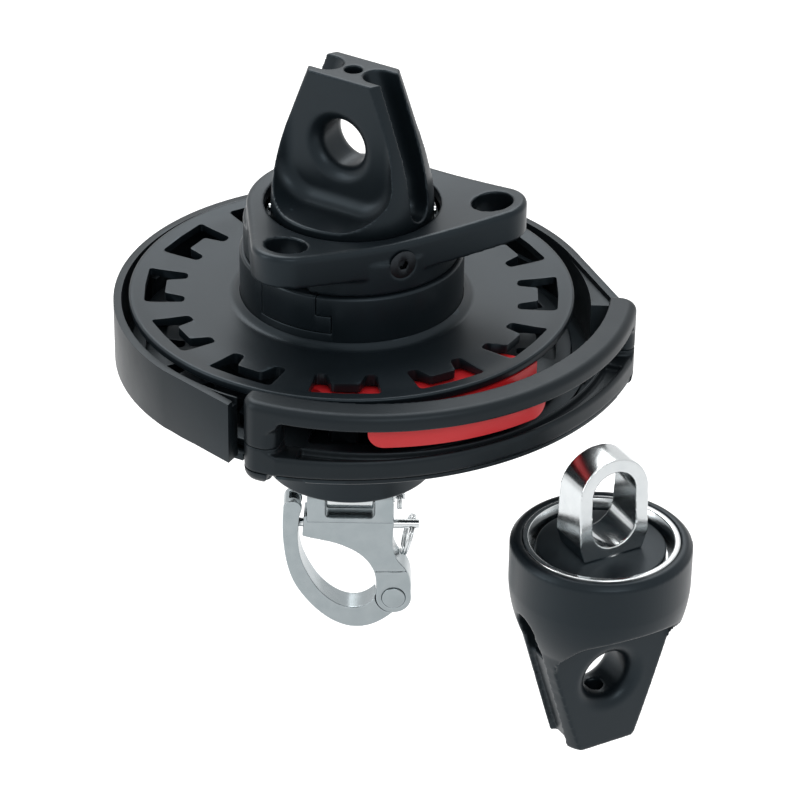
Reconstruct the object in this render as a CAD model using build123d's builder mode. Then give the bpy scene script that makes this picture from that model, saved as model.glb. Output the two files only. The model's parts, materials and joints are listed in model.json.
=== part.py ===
"""Top-down furler for a free-flying sail: drum unit with tack swivel and snap shackle, and its head swivel.

Millimetres. The origin is on the drum's axis, midway between the two sheaves that make the
line groove. +Z points up the furling cable, the snap shackle hangs below, and -Y is the
side the furling line leaves by.
"""

import os
from math import atan2, copysign, cos, degrees, radians, sin, sqrt, tan

from build123d import *

# Drum and line groove
DRUM_R = 93.5
RIM_TOP = 16.0
RIM_T = 3.8
DISH_Z = 13.0
LOWER_RIM_Z = 12.4
LOWER_RIM_T = 3.2
LOWER_DISH_Z = 11.4
GROOVE_FLOOR_R = 60.0
GROOVE_FLOOR_HALF = 4.2
HUB_R = 36.0
BORE_FIT = 0.05
SHEAVE_SCREW_PITCH_R = 52.0
SHEAVE_SCREW_SEAT = -9.5

# Windows in the sheaves, which grip the line and drain the drum
WINDOWS = 12
WINDOW_TURN = -91.5
WINDOW_OUT_R = 88.0
WINDOW_HALF = 14.7
FINGER_TIP_R = 67.5
FINGER_HALF = 11.4
TOOTH_TIP_R = 79.0
TOOTH_TIP_HALF = 5.0
TOOTH_ROOT_HALF = 8.2

# Retaining ring round the neck
RING_R = 47.0
RING_TOP = 35.8
NECK_TOP = 50.0
PIN_HOLE_Z = 53.0

# Tack swivel plate
TACK_TOP = 56.8
COLLAR_R = 45.4
PLATE_R = 44.0
COLLAR_BOTTOM = 36.2
TACK_OPENING_R = 36.6
TACK_BORE_R = 40.0
EARS = ((51.0, -120.4), (58.0, -4.4))
EAR_R = 14.3
EAR_HOLE_R = 8.6
TACK_BALL_R = 2.2
TACK_PITCH_R = 38.0
TACK_BALL_Z = 47.0

# Cable terminal: flats, cross bore and rope channels
TERMINAL_R = 34.0
TERMINAL_TOP = 116.5
TERMINAL_ANGLE = -122.0
FLAT_HALF = 11.0
EYE_BORE_R = 10.4
EYE_Z = 86.0
MOUTH_ROUND = 6.0
LASHING_R = 3.75
CHANNEL_R = 6.5
CHANNEL_PATH = ((9.5, 125.0), (27.5, 72.0), (29.0, 63.5))
POCKET_HALF = 29.0
POCKET_BOTTOM = 58.6
POCKET_CORNER = 17.0
POCKET_COVE = 7.0

# Stem and bearings
STEM_R = 8.0
STEM_TOP = 39.5
THRUST_FLOOR = 18.0
THRUST_BALL_R = 3.0
THRUST_PITCH_R = 19.0
THRUST_Z = 23.5
LOWER_BALL_R = 2.5
LOWER_PITCH_R = 16.0
LOWER_Z = -19.5
RACE_GAP = 0.1

# Base hub and carrier
BASE_R = 37.0
BASE_BOTTOM = -68.4
CARRIER_TOP = -20.0
CARRIER_T = 4.5
CARRIER_SCREW_PITCH_R = 38.0

# Guard band
BAND_X = 2.0
BAND_R = 102.0
BAND_WALL = 3.3
BAND_TOP = 13.0
BAND_BOTTOM = -14.0
BAND_WEB_DROP = 2.6
BAND_LEFT_TANGENT = -139.0
BAND_RIGHT_TANGENT = 22.0
BAND_LEFT_END = (-47.3, -93.8)
BAND_RIGHT_END = (113.4, -2.8)
BAND_ARMS = (40.0, 95.0, 150.0)

# Fairlead
FAIR_X = 7.5
FAIR_Y = 5.0
FAIR_OUT_R = 113.0
FAIR_IN_R = 101.0
FAIR_START = -117.0
FAIR_END = -5.0
FAIR_TOP = 16.5
SLOT_TOP = 7.2
SLOT_BOTTOM = -9.1
SLOT_START = -108.5
SLOT_END = -11.5
RAIL_BOTTOM = -16.5
POST_SEAM = -3.7
POST_BOTTOM = -17.5
FOOT_BOTTOM = -20.8
POST_ANGLES = (-113.0, -8.3)
POST_SCREW_R = 105.5
POST_SCREW_TOP = 5.0
SCREW_HEAD_R = 4.0
SCREW_HEAD_T = 2.2
SCREW_R = 2.0

# Line stripper in the groove
STRIPPER_OUT_R = 106.0
STRIPPER_BOTTOM = -1.5
STRIPPER_START = -89.5
STRIPPER_END = -47.0
STRIPPER_CORNER = 6.5
BLADE_START = -103.0
BLADE_SWEEP = 66.0
STRIPPER_SCREWS = (-80.0, -57.0)
STRIPPER_SCREW_R = 102.0

# Snap shackle, hung on a pin along X
PIN_Z = -86.0
TONGUE_TOP = -70.0
PIN_R = 4.0
TONGUE_HALF = 10.2
TONGUE_R = 6.8
SHACKLE_HALF_T = 6.0
RIVET_X = 19.5
RIVET_Z = -136.2
RIVET_R = 5.1
PLUNGER_Z = -101.5
PLUNGER_R = 2.0
SPRING_R = 3.5
SPRING_LEFT = -6.0
SPRING_RIGHT = 14.0

# Head swivel
HEAD_X = 104.0
HEAD_Y = -89.4
HEAD_RIM_Z = -49.4
HEAD_R = 37.5
HEAD_ANGLE = -61.0
HEAD = (HEAD_X, HEAD_Y, HEAD_RIM_Z)
HEAD_FOOT = 96.0
HEAD_EYE_H = 62.5
HEAD_FLAT_HALF = 12.0
HEAD_FLAT_WIDE = 27.0
HEAD_LEDGE_H = 41.0
HEAD_LEDGE_SLOPE = 31.0
HEAD_LEDGE_CORNER = 6.0
HEAD_CHANNEL_PATH = ((9.0, 110.0), (27.0, 50.0), (29.0, 34.0))

os.makedirs("parts", exist_ok=True)


def outward(edge):
    """Distance of an edge's middle from the fairlead's centre, negative so that the outermost sorts first."""
    return -Vector((edge @ 0.5).X - FAIR_X, (edge @ 0.5).Y - FAIR_Y, 0).length


def polar(radius, angle, x=0.0, y=0.0):
    """Point at a radius and an angle in degrees from a centre."""
    return (x + radius * cos(radians(angle)), y + radius * sin(radians(angle)))


def save(shape, name):
    """Label a finished piece and write it under its node's name."""
    shape.label = name
    export_step(shape, "parts/" + name + ".step")


def turned(*section, centre=(0, 0, 0), up=1):
    """Solid of revolution about the vertical through a centre, from (radius, height) points."""
    with BuildPart(mode=Mode.PRIVATE) as body:
        with BuildSketch(Plane(origin=centre, x_dir=(1, 0, 0), z_dir=(0, -up, 0))):
            with BuildLine():
                Polyline(*section, close=True)
            make_face()
        revolve(axis=Axis(centre, (0, 0, 1)))
    return body.part


def ball_groove(pitch_r, height, ball_r, centre=(0, 0, 0)):
    """Ring that a row of bearing balls sweeps, for cutting their raceway."""
    with BuildPart(mode=Mode.PRIVATE) as ring:
        with BuildSketch(Plane(origin=centre, x_dir=(1, 0, 0), z_dir=(0, -1, 0))):
            with Locations((pitch_r, height)):
                Circle(ball_r + RACE_GAP)
        revolve(axis=Axis(centre, (0, 0, 1)))
    return ring.part


def ball_row(pitch_r, height, ball_r, count, centre=(0, 0, 0)):
    """Row of bearing balls on a pitch circle round the vertical through a centre."""
    with BuildPart(mode=Mode.PRIVATE) as row:
        with Locations((centre[0], centre[1], centre[2] + height)):
            with PolarLocations(pitch_r, count):
                Sphere(ball_r)
    return row.part


def fairlead_spots(angles, pitch_r):
    """Screw positions along the fairlead."""
    return [polar(pitch_r, angle, FAIR_X, FAIR_Y) for angle in angles]


def fairlead_arc(inner_r, outer_r, start, end):
    """Curved bar in plan, concentric with the fairlead, its ends cut square."""
    with BuildSketch(mode=Mode.PRIVATE) as bar:
        with BuildLine():
            outer = CenterArc((FAIR_X, FAIR_Y), outer_r, start, end - start)
            inner = CenterArc((FAIR_X, FAIR_Y), inner_r, start, end - start)
            Line(outer @ 0, inner @ 0)
            Line(outer @ 1, inner @ 1)
        make_face()
    return bar.sketch


# Fairlead: two curved rails joined by end posts, with the line's slot between them


def fairlead_rail(*section):
    """Curved rail from a closed section of (radius, height) points, swept round the fairlead's centre."""
    start = polar(1.0, FAIR_START)
    centre = (FAIR_X, FAIR_Y, 0)
    with BuildPart(mode=Mode.PRIVATE) as rail:
        with BuildSketch(Plane(origin=centre, x_dir=(*start, 0), z_dir=(start[1], -start[0], 0))):
            with BuildLine():
                Polyline(*section, close=True)
            make_face()
        revolve(axis=Axis(centre, (0, 0, 1)), revolution_arc=FAIR_END - FAIR_START)
    return rail.part


def fairlead_posts(low, high):
    """The two end posts between two heights."""
    with BuildPart(mode=Mode.PRIVATE) as posts:
        with BuildSketch(Plane.XY.offset(low)):
            add(fairlead_arc(FAIR_IN_R, FAIR_OUT_R, FAIR_START, SLOT_START))
            add(fairlead_arc(FAIR_IN_R, FAIR_OUT_R, SLOT_END, FAIR_END))
        extrude(amount=high - low)
    return posts.part


def fairlead_blank():
    """Tall blank of the fairlead's outline in plan, its outer corners rounded."""
    with BuildPart(mode=Mode.PRIVATE) as blank:
        with BuildSketch(Plane.XY.offset(-30)) as plan:
            add(fairlead_arc(FAIR_IN_R - 2, FAIR_OUT_R, FAIR_START, FAIR_END))
            corners = plan.vertices().sort_by(lambda v: -Vector(v.X - FAIR_X, v.Y - FAIR_Y, 0).length)[:2]
            fillet(corners, radius=4.2)
            Circle(DRUM_R + 1.2, mode=Mode.SUBTRACT)
        extrude(amount=60)
    return blank.part


# Screws up through the carrier plate into the fairlead, and through the stripper into its upper rail
POST_SPOTS = fairlead_spots(POST_ANGLES, POST_SCREW_R)
STRIPPER_SPOTS = fairlead_spots(STRIPPER_SCREWS, STRIPPER_SCREW_R)

# Stem: the post that carries the load from the tack shackle to the thrust bearing
with BuildPart() as center_stem:
    with BuildSketch(Plane.XZ):
        with BuildLine():
            Polyline(
                (0, -72), (17, -72), (20, -69), (20, -64), (STEM_R, -64), (STEM_R, STEM_TOP - 1.5),
                (STEM_R - 1.5, STEM_TOP), (0, STEM_TOP), close=True,
            )
        make_face()
    revolve(axis=Axis.Z)
    with BuildSketch(Plane.YZ):
        with Locations((0, PIN_Z)):
            Circle(TONGUE_R)
        with Locations((0, (PIN_Z + TONGUE_TOP) / 2)):
            Rectangle(2 * TONGUE_R, TONGUE_TOP - PIN_Z)
    extrude(amount=TONGUE_HALF, both=True)
    with BuildSketch(Plane.YZ):
        with Locations((0, PIN_Z)):
            Circle(PIN_R + BORE_FIT)
    extrude(amount=TONGUE_HALF + 1, both=True, mode=Mode.SUBTRACT)
save(center_stem.part, "center_stem")

# Base hub: the black turned housing under the drum
FLANGE_TOP = CARRIER_TOP - CARRIER_T
with BuildPart() as base_hub:
    add(turned(
        (STEM_R + BORE_FIT, -64), (31, -64), (31, -67.6), (31.8, BASE_BOTTOM), (BASE_R - 1.2, BASE_BOTTOM),
        (BASE_R, BASE_BOTTOM + 1.2), (BASE_R, -36), (46, -30), (46, FLANGE_TOP), (30, FLANGE_TOP), (30, -54),
        (26, -58), (20, -58), (20, -24), (STEM_R + BORE_FIT, -24),
    ))
    with BuildSketch(Plane.XY.offset(FLANGE_TOP)):
        with PolarLocations(CARRIER_SCREW_PITCH_R, 6, start_angle=30):
            Circle(2.0)
    extrude(amount=-5, mode=Mode.SUBTRACT)
save(base_hub.part, "base_hub")

# Lower bearing, between the base hub's boss and the drum hub
with BuildPart() as lower_race:
    add(turned((STEM_R + 1, -24), (20, -24), (20, -21.2), (STEM_R + 1, -21.2)))
    add(ball_groove(LOWER_PITCH_R, LOWER_Z, LOWER_BALL_R), mode=Mode.SUBTRACT)
save(lower_race.part, "lower_race")
save(ball_row(LOWER_PITCH_R, LOWER_Z, LOWER_BALL_R, 12), "lower_balls")

# Carrier plate: the floor under the drum, which holds the guard band and the fairlead
TAB_T = 2.4
FLOOR_R = 98.2
PAN_TOP = -13.6
PAN_BOTTOM = -16.4
TAB_TOP = -4.0
with BuildPart() as carrier_plate:
    add(turned(
        (0, FLANGE_TOP), (58, FLANGE_TOP), (63, PAN_BOTTOM), (FLOOR_R, PAN_BOTTOM), (FLOOR_R, PAN_TOP), (61, PAN_TOP),
        (56, CARRIER_TOP), (0, CARRIER_TOP), centre=(BAND_X, 0, 0),
    ))
    for start, end in ((FAIR_START + 0.5, SLOT_START), (SLOT_END, FAIR_END - 0.5)):
        with BuildSketch(Plane.XY.offset(FOOT_BOTTOM)):
            add(fairlead_arc(88, FAIR_OUT_R, start, end))
        extrude(amount=POST_BOTTOM - FOOT_BOTTOM)
        with BuildSketch(Plane.XY.offset(FOOT_BOTTOM)):
            add(fairlead_arc(88, FAIR_IN_R - 5, start, end))
        extrude(amount=PAN_TOP - FOOT_BOTTOM)
    with BuildSketch(Plane.XY.offset(PAN_BOTTOM)):
        for angle in BAND_ARMS:
            with BuildLine():
                tab_out = CenterArc((BAND_X, 0), BAND_R - BAND_WALL, angle - 5, 10)
                tab_in = CenterArc((BAND_X, 0), BAND_R - BAND_WALL - TAB_T, angle - 5, 10)
                Line(tab_out @ 0, tab_in @ 0)
                Line(tab_out @ 1, tab_in @ 1)
            make_face()
    extrude(amount=TAB_TOP - PAN_BOTTOM)
    with BuildSketch(Plane.XY.offset(FLANGE_TOP)):
        Circle(25)
        with PolarLocations(CARRIER_SCREW_PITCH_R, 6, start_angle=30):
            Circle(2.2)
    extrude(amount=CARRIER_T, mode=Mode.SUBTRACT)
    with BuildSketch(Plane.XY.offset(POST_BOTTOM)):
        add(fairlead_arc(FAIR_IN_R - 0.1, FAIR_OUT_R + 4, FAIR_START - 1, FAIR_END + 1))
    extrude(amount=TAB_TOP - POST_BOTTOM, mode=Mode.SUBTRACT)
    with BuildSketch(Plane.XY.offset(FOOT_BOTTOM)):
        with Locations(*POST_SPOTS):
            Circle(SCREW_R + 0.2)
    extrude(amount=POST_BOTTOM - FOOT_BOTTOM, mode=Mode.SUBTRACT)
    with BuildSketch(Plane.XY.offset(FOOT_BOTTOM)):
        with Locations(*POST_SPOTS):
            Circle(SCREW_HEAD_R + 0.1)
    extrude(amount=SCREW_HEAD_T, mode=Mode.SUBTRACT)
save(carrier_plate.part, "carrier_plate")

# Screws that hold the carrier plate on the base hub
with BuildPart() as carrier_screws:
    with BuildSketch(Plane.XY.offset(CARRIER_TOP)):
        with PolarLocations(CARRIER_SCREW_PITCH_R, 6, start_angle=30):
            Circle(4.0)
    extrude(amount=2.2)
    with BuildSketch(Plane.XY.offset(CARRIER_TOP)):
        with PolarLocations(CARRIER_SCREW_PITCH_R, 6, start_angle=30):
            Circle(1.95)
    extrude(amount=-8)
save(carrier_screws.part, "carrier_screws")

# Guard band: a strap bent round the drum, its two ends running off straight
LEFT_POINT = polar(BAND_R, BAND_LEFT_TANGENT, BAND_X)
RIGHT_POINT = polar(BAND_R, BAND_RIGHT_TANGENT, BAND_X)
BAND_SWEEP = 360 + BAND_LEFT_TANGENT - BAND_RIGHT_TANGENT
BAND_IN_R = BAND_R - BAND_WALL
LEFT_IN_ANGLE = degrees(atan2(BAND_LEFT_END[1], BAND_LEFT_END[0] - BAND_X))
RIGHT_IN_ANGLE = degrees(atan2(BAND_RIGHT_END[1], BAND_RIGHT_END[0] - BAND_X))
with BuildPart() as guard_band:
    with BuildSketch(Plane.XY.offset(BAND_BOTTOM)):
        with BuildLine():
            CenterArc((BAND_X, 0), BAND_R, BAND_RIGHT_TANGENT, BAND_SWEEP)
            Line(LEFT_POINT, BAND_LEFT_END)
            Line(RIGHT_POINT, BAND_RIGHT_END)
            inner = CenterArc((BAND_X, 0), BAND_IN_R, RIGHT_IN_ANGLE, 360 + LEFT_IN_ANGLE - RIGHT_IN_ANGLE)
            Line(inner @ 0, BAND_RIGHT_END)
            Line(inner @ 1, BAND_LEFT_END)
        make_face()
    extrude(amount=BAND_TOP - BAND_BOTTOM)
    for tangent, end, start in (
        (BAND_LEFT_TANGENT, BAND_LEFT_END, LEFT_POINT),
        (BAND_RIGHT_TANGENT, BAND_RIGHT_END, RIGHT_POINT),
    ):
        inward = polar(-BAND_WALL, tangent)
        with BuildSketch(Plane.XY.offset(BAND_TOP)):
            with BuildLine():
                Polyline(
                    (start[0] + inward[0], start[1] + inward[1]),
                    (end[0] + inward[0], end[1] + inward[1]),
                    (end[0] + 6 * inward[0], end[1] + 6 * inward[1]),
                    (start[0] + 6 * inward[0], start[1] + 6 * inward[1]),
                    close=True,
                )
            make_face()
            Circle(BAND_IN_R - 0.2, mode=Mode.SUBTRACT)
        extrude(amount=-BAND_WEB_DROP, mode=Mode.SUBTRACT)
    for angle in BAND_ARMS:
        spot = polar(BAND_R, angle, BAND_X)
        face = Plane(origin=(spot[0], spot[1], -9), z_dir=(cos(radians(angle)), sin(radians(angle)), 0))
        with BuildSketch(face):
            Circle(2.2)
        extrude(amount=-BAND_WALL - 1, mode=Mode.SUBTRACT)
save(guard_band.part, "guard_band")

# Screws through the band into the carrier's tabs
with BuildPart() as band_screws:
    for angle in BAND_ARMS:
        spot = polar(BAND_R, angle, BAND_X)
        face = Plane(origin=(spot[0], spot[1], -9), z_dir=(cos(radians(angle)), sin(radians(angle)), 0))
        with BuildSketch(face):
            Circle(3.8)
        extrude(amount=1.9)
        with BuildSketch(face):
            Circle(2.1)
        extrude(amount=-BAND_WALL)
save(band_screws.part, "band_screws")

# Fairlead: two curved rails joined by end posts, with the line's slot between them
with BuildPart() as fairlead_upper:
    add(fairlead_rail(
        (FAIR_IN_R, SLOT_TOP), (106.5, SLOT_TOP), (FAIR_OUT_R, 9.8), (FAIR_OUT_R, FAIR_TOP), (FAIR_IN_R, FAIR_TOP)
    ))
    add(fairlead_posts(POST_SEAM, FAIR_TOP))
    add(fairlead_blank(), mode=Mode.INTERSECT)
    top_edges = fairlead_upper.faces().sort_by(Axis.Z)[-1].edges()
    fillet(top_edges.sort_by(outward)[:1], radius=2.8)
    with BuildSketch(Plane.XY.offset(POST_SEAM)):
        with Locations(*POST_SPOTS):
            Circle(SCREW_R + 0.05)
    extrude(amount=POST_SCREW_TOP - POST_SEAM + 0.5, mode=Mode.SUBTRACT)
    with BuildSketch(Plane.XY.offset(SLOT_TOP)):
        with Locations(*STRIPPER_SPOTS):
            Circle(1.85)
    extrude(amount=5, mode=Mode.SUBTRACT)
save(fairlead_upper.part, "fairlead_upper")

with BuildPart() as fairlead_lower:
    add(fairlead_rail(
        (FAIR_IN_R, RAIL_BOTTOM), (111.4, RAIL_BOTTOM), (111.4, -8.6), (FAIR_OUT_R, -7.6), (FAIR_OUT_R, -4.4),
        (111.6, -3.2), (108.6, -3.8), (104, SLOT_BOTTOM), (FAIR_IN_R, SLOT_BOTTOM),
    ))
    add(fairlead_posts(POST_SEAM, POST_SEAM + 2), mode=Mode.SUBTRACT)
    add(fairlead_posts(POST_BOTTOM, POST_SEAM))
    add(fairlead_blank(), mode=Mode.INTERSECT)
    with BuildSketch(Plane.XY.offset(POST_BOTTOM)):
        with Locations(*POST_SPOTS):
            Circle(SCREW_R + 0.05)
    extrude(amount=POST_SEAM - POST_BOTTOM, mode=Mode.SUBTRACT)
save(fairlead_lower.part, "fairlead_lower")

with BuildPart() as fairlead_screws:
    with BuildSketch(Plane.XY.offset(FOOT_BOTTOM)):
        with Locations(*POST_SPOTS):
            Circle(SCREW_HEAD_R)
    extrude(amount=SCREW_HEAD_T)
    with BuildSketch(Plane.XY.offset(FOOT_BOTTOM)):
        with Locations(*POST_SPOTS):
            Circle(SCREW_R)
    extrude(amount=POST_SCREW_TOP - FOOT_BOTTOM)
save(fairlead_screws.part, "fairlead_screws")

# Line stripper: the red block that lifts the line out of the groove at the fairlead
with BuildPart() as line_stripper:
    with BuildSketch(Plane.XY.offset(STRIPPER_BOTTOM)):
        add(fairlead_arc(FAIR_IN_R - 8.5, STRIPPER_OUT_R, STRIPPER_START, STRIPPER_END))
    extrude(amount=SLOT_TOP - STRIPPER_BOTTOM)
    low_edges = line_stripper.faces().sort_by(Axis.Z)[0].edges().filter_by(GeomType.LINE)
    fillet(low_edges, radius=STRIPPER_CORNER)
    start = polar(1.0, BLADE_START)
    with BuildSketch(Plane(origin=(0, 0, 0), x_dir=(*start, 0), z_dir=(start[1], -start[0], 0))):
        with BuildLine():
            Polyline((79.5, -0.8), (93, -0.8), (93, 9.5), (86.5, 9.2), (79.5, 6.8), close=True)
        make_face()
    revolve(axis=Axis.Z, revolution_arc=BLADE_SWEEP)
    with BuildSketch(Plane.XY.offset(STRIPPER_BOTTOM)):
        with Locations(*STRIPPER_SPOTS):
            Circle(1.85)
    extrude(amount=SLOT_TOP - STRIPPER_BOTTOM, mode=Mode.SUBTRACT)
save(line_stripper.part, "line_stripper")

with BuildPart() as stripper_screws:
    with BuildSketch(Plane.XY.offset(STRIPPER_BOTTOM)):
        with Locations(*STRIPPER_SPOTS):
            Circle(1.8)
    extrude(amount=SLOT_TOP + 4.5 - STRIPPER_BOTTOM)
save(stripper_screws.part, "stripper_screws")

# Drum hub: groove floor, pocket for the thrust bearing and neck for the tack swivel
THRUST_RACE_TOP = 21.8
NUT_BOTTOM = 25.2
NUT_TOP = 36.5
with BuildPart() as drum_hub:
    add(turned(
        (11.05, -17.8), (24, -17.8), (24, -14.5), (HUB_R, -14.5), (HUB_R, -GROOVE_FLOOR_HALF),
        (GROOVE_FLOOR_R, -GROOVE_FLOOR_HALF), (GROOVE_FLOOR_R, GROOVE_FLOOR_HALF), (HUB_R, GROOVE_FLOOR_HALF),
        (HUB_R, NECK_TOP), (31, NECK_TOP), (31, NECK_TOP + 6), (28, NECK_TOP + 6), (28, THRUST_FLOOR),
        (11.05, THRUST_FLOOR),
    ))
    add(ball_groove(LOWER_PITCH_R, LOWER_Z, LOWER_BALL_R), mode=Mode.SUBTRACT)
    add(ball_groove(TACK_PITCH_R, TACK_BALL_Z, TACK_BALL_R), mode=Mode.SUBTRACT)
    with BuildSketch(Plane.XY.offset(-GROOVE_FLOOR_HALF)):
        with PolarLocations(SHEAVE_SCREW_PITCH_R, 6):
            Circle(2.05)
    extrude(amount=2 * GROOVE_FLOOR_HALF, mode=Mode.SUBTRACT)
    with BuildSketch(Plane.YZ):
        with Locations((0, PIN_HOLE_Z)):
            Circle(1.85)
    extrude(amount=40, both=True, mode=Mode.SUBTRACT)
save(drum_hub.part, "drum_hub")

with BuildPart() as stem_bushing:
    add(turned((STEM_R + BORE_FIT, -17), (11, -17), (11, 18), (STEM_R + BORE_FIT, 18)))
save(stem_bushing.part, "stem_bushing")

with BuildPart() as thrust_race:
    add(turned((11.5, THRUST_FLOOR), (27, THRUST_FLOOR), (27, THRUST_RACE_TOP), (11.5, THRUST_RACE_TOP)))
    add(ball_groove(THRUST_PITCH_R, THRUST_Z, THRUST_BALL_R), mode=Mode.SUBTRACT)
save(thrust_race.part, "thrust_race")

with BuildPart() as stem_nut:
    add(turned((STEM_R + BORE_FIT, NUT_BOTTOM), (26, NUT_BOTTOM), (26, 29), (STEM_R + BORE_FIT, 29)))
    with BuildSketch(Plane.XY.offset(29)):
        RegularPolygon(15, 6)
        Circle(STEM_R + BORE_FIT, mode=Mode.SUBTRACT)
    extrude(amount=NUT_TOP - 29)
    add(ball_groove(THRUST_PITCH_R, THRUST_Z, THRUST_BALL_R), mode=Mode.SUBTRACT)
save(stem_nut.part, "stem_nut")
save(ball_row(THRUST_PITCH_R, THRUST_Z, THRUST_BALL_R, 12), "thrust_balls")

with BuildPart() as ball_cage:
    add(turned((14.5, 22.4), (24, 22.4), (24, 24.6), (14.5, 24.6)))
    with BuildSketch(Plane.XY.offset(22)):
        with PolarLocations(THRUST_PITCH_R, 12):
            Circle(THRUST_BALL_R + BORE_FIT)
    extrude(amount=3, mode=Mode.SUBTRACT)
save(ball_cage.part, "ball_cage")


# Sheaves: the two discs of the drum, each with twelve toothed windows
def window():
    """One window in plan: two inward fingers either side of a blunt tooth."""
    with BuildSketch(mode=Mode.PRIVATE) as opening:
        with BuildLine():
            Polyline(
                (WINDOW_OUT_R - 0.6, -WINDOW_HALF), (WINDOW_OUT_R, 0), (WINDOW_OUT_R - 0.6, WINDOW_HALF),
                (FINGER_TIP_R, FINGER_HALF), (FINGER_TIP_R, TOOTH_ROOT_HALF), (TOOTH_TIP_R, TOOTH_TIP_HALF),
                (TOOTH_TIP_R, -TOOTH_TIP_HALF), (FINGER_TIP_R, -TOOTH_ROOT_HALF), (FINGER_TIP_R, -FINGER_HALF),
                close=True,
            )
        make_face()
        fillet(opening.vertices().group_by(Axis.X)[0], radius=1.3)
    return opening.sketch


def sheave(side):
    """One sheave, upper for side 1 and lower for side -1, turned and then pierced by its windows."""
    rim, rim_t, dish = (RIM_TOP, RIM_T, DISH_Z) if side > 0 else (LOWER_RIM_Z, LOWER_RIM_T, LOWER_DISH_Z)
    with BuildPart(mode=Mode.PRIVATE) as disc:
        with BuildSketch(Plane.XZ):
            with BuildLine():
                Polyline(
                    (HUB_R + BORE_FIT, side * dish), (HUB_R + BORE_FIT, side * GROOVE_FLOOR_HALF),
                    (GROOVE_FLOOR_R + 1, side * GROOVE_FLOOR_HALF), (DRUM_R - 0.6, side * (rim - rim_t)),
                    (DRUM_R, side * (rim - rim_t + 0.6)), (DRUM_R, side * (rim - 0.6)), (DRUM_R - 0.6, side * rim),
                )
                ThreePointArc((DRUM_R - 0.6, side * rim), (72, side * (dish + 1.1)), (51, side * (dish + 0.1)))
                RadiusArc((51, side * (dish + 0.1)), (RING_R + 0.2, side * (dish + 2.6)), side * 5.0)
                Polyline((RING_R + 0.2, side * (dish + 2.6)), (RING_R + 0.2, side * dish), (HUB_R + BORE_FIT, side * dish))
            make_face()
        revolve(axis=Axis.Z)
        with BuildSketch(Plane.XY):
            with PolarLocations(0, WINDOWS, start_angle=WINDOW_TURN):
                add(window())
        extrude(amount=side * 20, mode=Mode.SUBTRACT)
        if side > 0:
            with BuildSketch(Plane.XY):
                with PolarLocations(SHEAVE_SCREW_PITCH_R, 6):
                    Circle(2.05)
            extrude(amount=10, mode=Mode.SUBTRACT)
        else:
            with BuildSketch(Plane.XY):
                with PolarLocations(SHEAVE_SCREW_PITCH_R, 6):
                    Circle(2.05)
            extrude(amount=-20, mode=Mode.SUBTRACT)
            with BuildSketch(Plane.XY.offset(SHEAVE_SCREW_SEAT)):
                with PolarLocations(SHEAVE_SCREW_PITCH_R, 6):
                    Circle(SCREW_HEAD_R + 0.1)
            extrude(amount=-6, mode=Mode.SUBTRACT)
    return disc.part


save(sheave(1), "upper_sheave")
save(sheave(-1), "lower_sheave")

with BuildPart() as sheave_screws:
    with BuildSketch(Plane.XY.offset(SHEAVE_SCREW_SEAT)):
        with PolarLocations(SHEAVE_SCREW_PITCH_R, 6):
            Circle(SCREW_HEAD_R)
    extrude(amount=-SCREW_HEAD_T)
    with BuildSketch(Plane.XY.offset(SHEAVE_SCREW_SEAT)):
        with PolarLocations(SHEAVE_SCREW_PITCH_R, 6):
            Circle(SCREW_R)
    extrude(amount=9 - SHEAVE_SCREW_SEAT)
save(sheave_screws.part, "sheave_screws")

# Retaining ring round the neck, with a stepped key let into its front that locks it
KEY_LEFT = -141.2
KEY_STEP = -107.0
KEY_RIGHT = -99.0
KEY_FLOOR = 19.2
KEY_SHELF = 27.3
KEY_IN_R = 40.0
KEY_GAP = 0.35


def ring_key(gap):
    """The key's stepped block, smaller by a gap at its ends and its floor; a gap of zero gives its seat."""
    turn = degrees(gap / RING_R)
    with BuildPart(mode=Mode.PRIVATE) as block:
        for right, high in ((KEY_RIGHT, KEY_SHELF), (KEY_STEP, RING_TOP)):
            with BuildSketch(Plane.XY.offset(KEY_FLOOR + gap)):
                with BuildLine():
                    outer = CenterArc((0, 0), RING_R, KEY_LEFT + turn, right - KEY_LEFT - 2 * turn)
                    inner = CenterArc((0, 0), KEY_IN_R + gap, KEY_LEFT + turn, right - KEY_LEFT - 2 * turn)
                    Line(outer @ 0, inner @ 0)
                    Line(outer @ 1, inner @ 1)
                make_face()
            extrude(amount=high - KEY_FLOOR - gap - (gap if high < RING_TOP else 0))
    return block.part


with BuildPart() as retaining_ring:
    add(turned(
        (HUB_R + BORE_FIT, DISH_Z), (RING_R, DISH_Z), (RING_R, RING_TOP - 0.8), (RING_R - 0.8, RING_TOP),
        (HUB_R + BORE_FIT, RING_TOP),
    ))
    add(ring_key(0.0), mode=Mode.SUBTRACT)
save(retaining_ring.part, "retaining_ring")
with BuildPart() as retaining_key:
    add(ring_key(KEY_GAP))
    add(turned(
        (0, 0), (RING_R, 0), (RING_R, RING_TOP - 0.8), (RING_R - 0.8, RING_TOP), (0, RING_TOP)
    ), mode=Mode.INTERSECT)
save(retaining_key.part, "retaining_key")


# Cable ends: the tower on the drum and the jaws of the head swivel share one form
def frame_at(centre, up, angle):
    """Plane on the axis that faces along an angle, its own y axis running up (or down) the axis."""
    nx = cos(radians(angle))
    ny = sin(radians(angle))
    return Plane(origin=centre, x_dir=(-up * ny, up * nx, 0), z_dir=(nx, ny, 0))


def side_plane(centre, up, angle):
    """Plane through the axis whose own x axis points along an angle, its y axis running up (or down)."""
    nx = cos(radians(angle))
    ny = sin(radians(angle))
    return Plane(origin=centre, x_dir=(nx, ny, 0), z_dir=(ny * up, -nx * up, 0))


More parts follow.
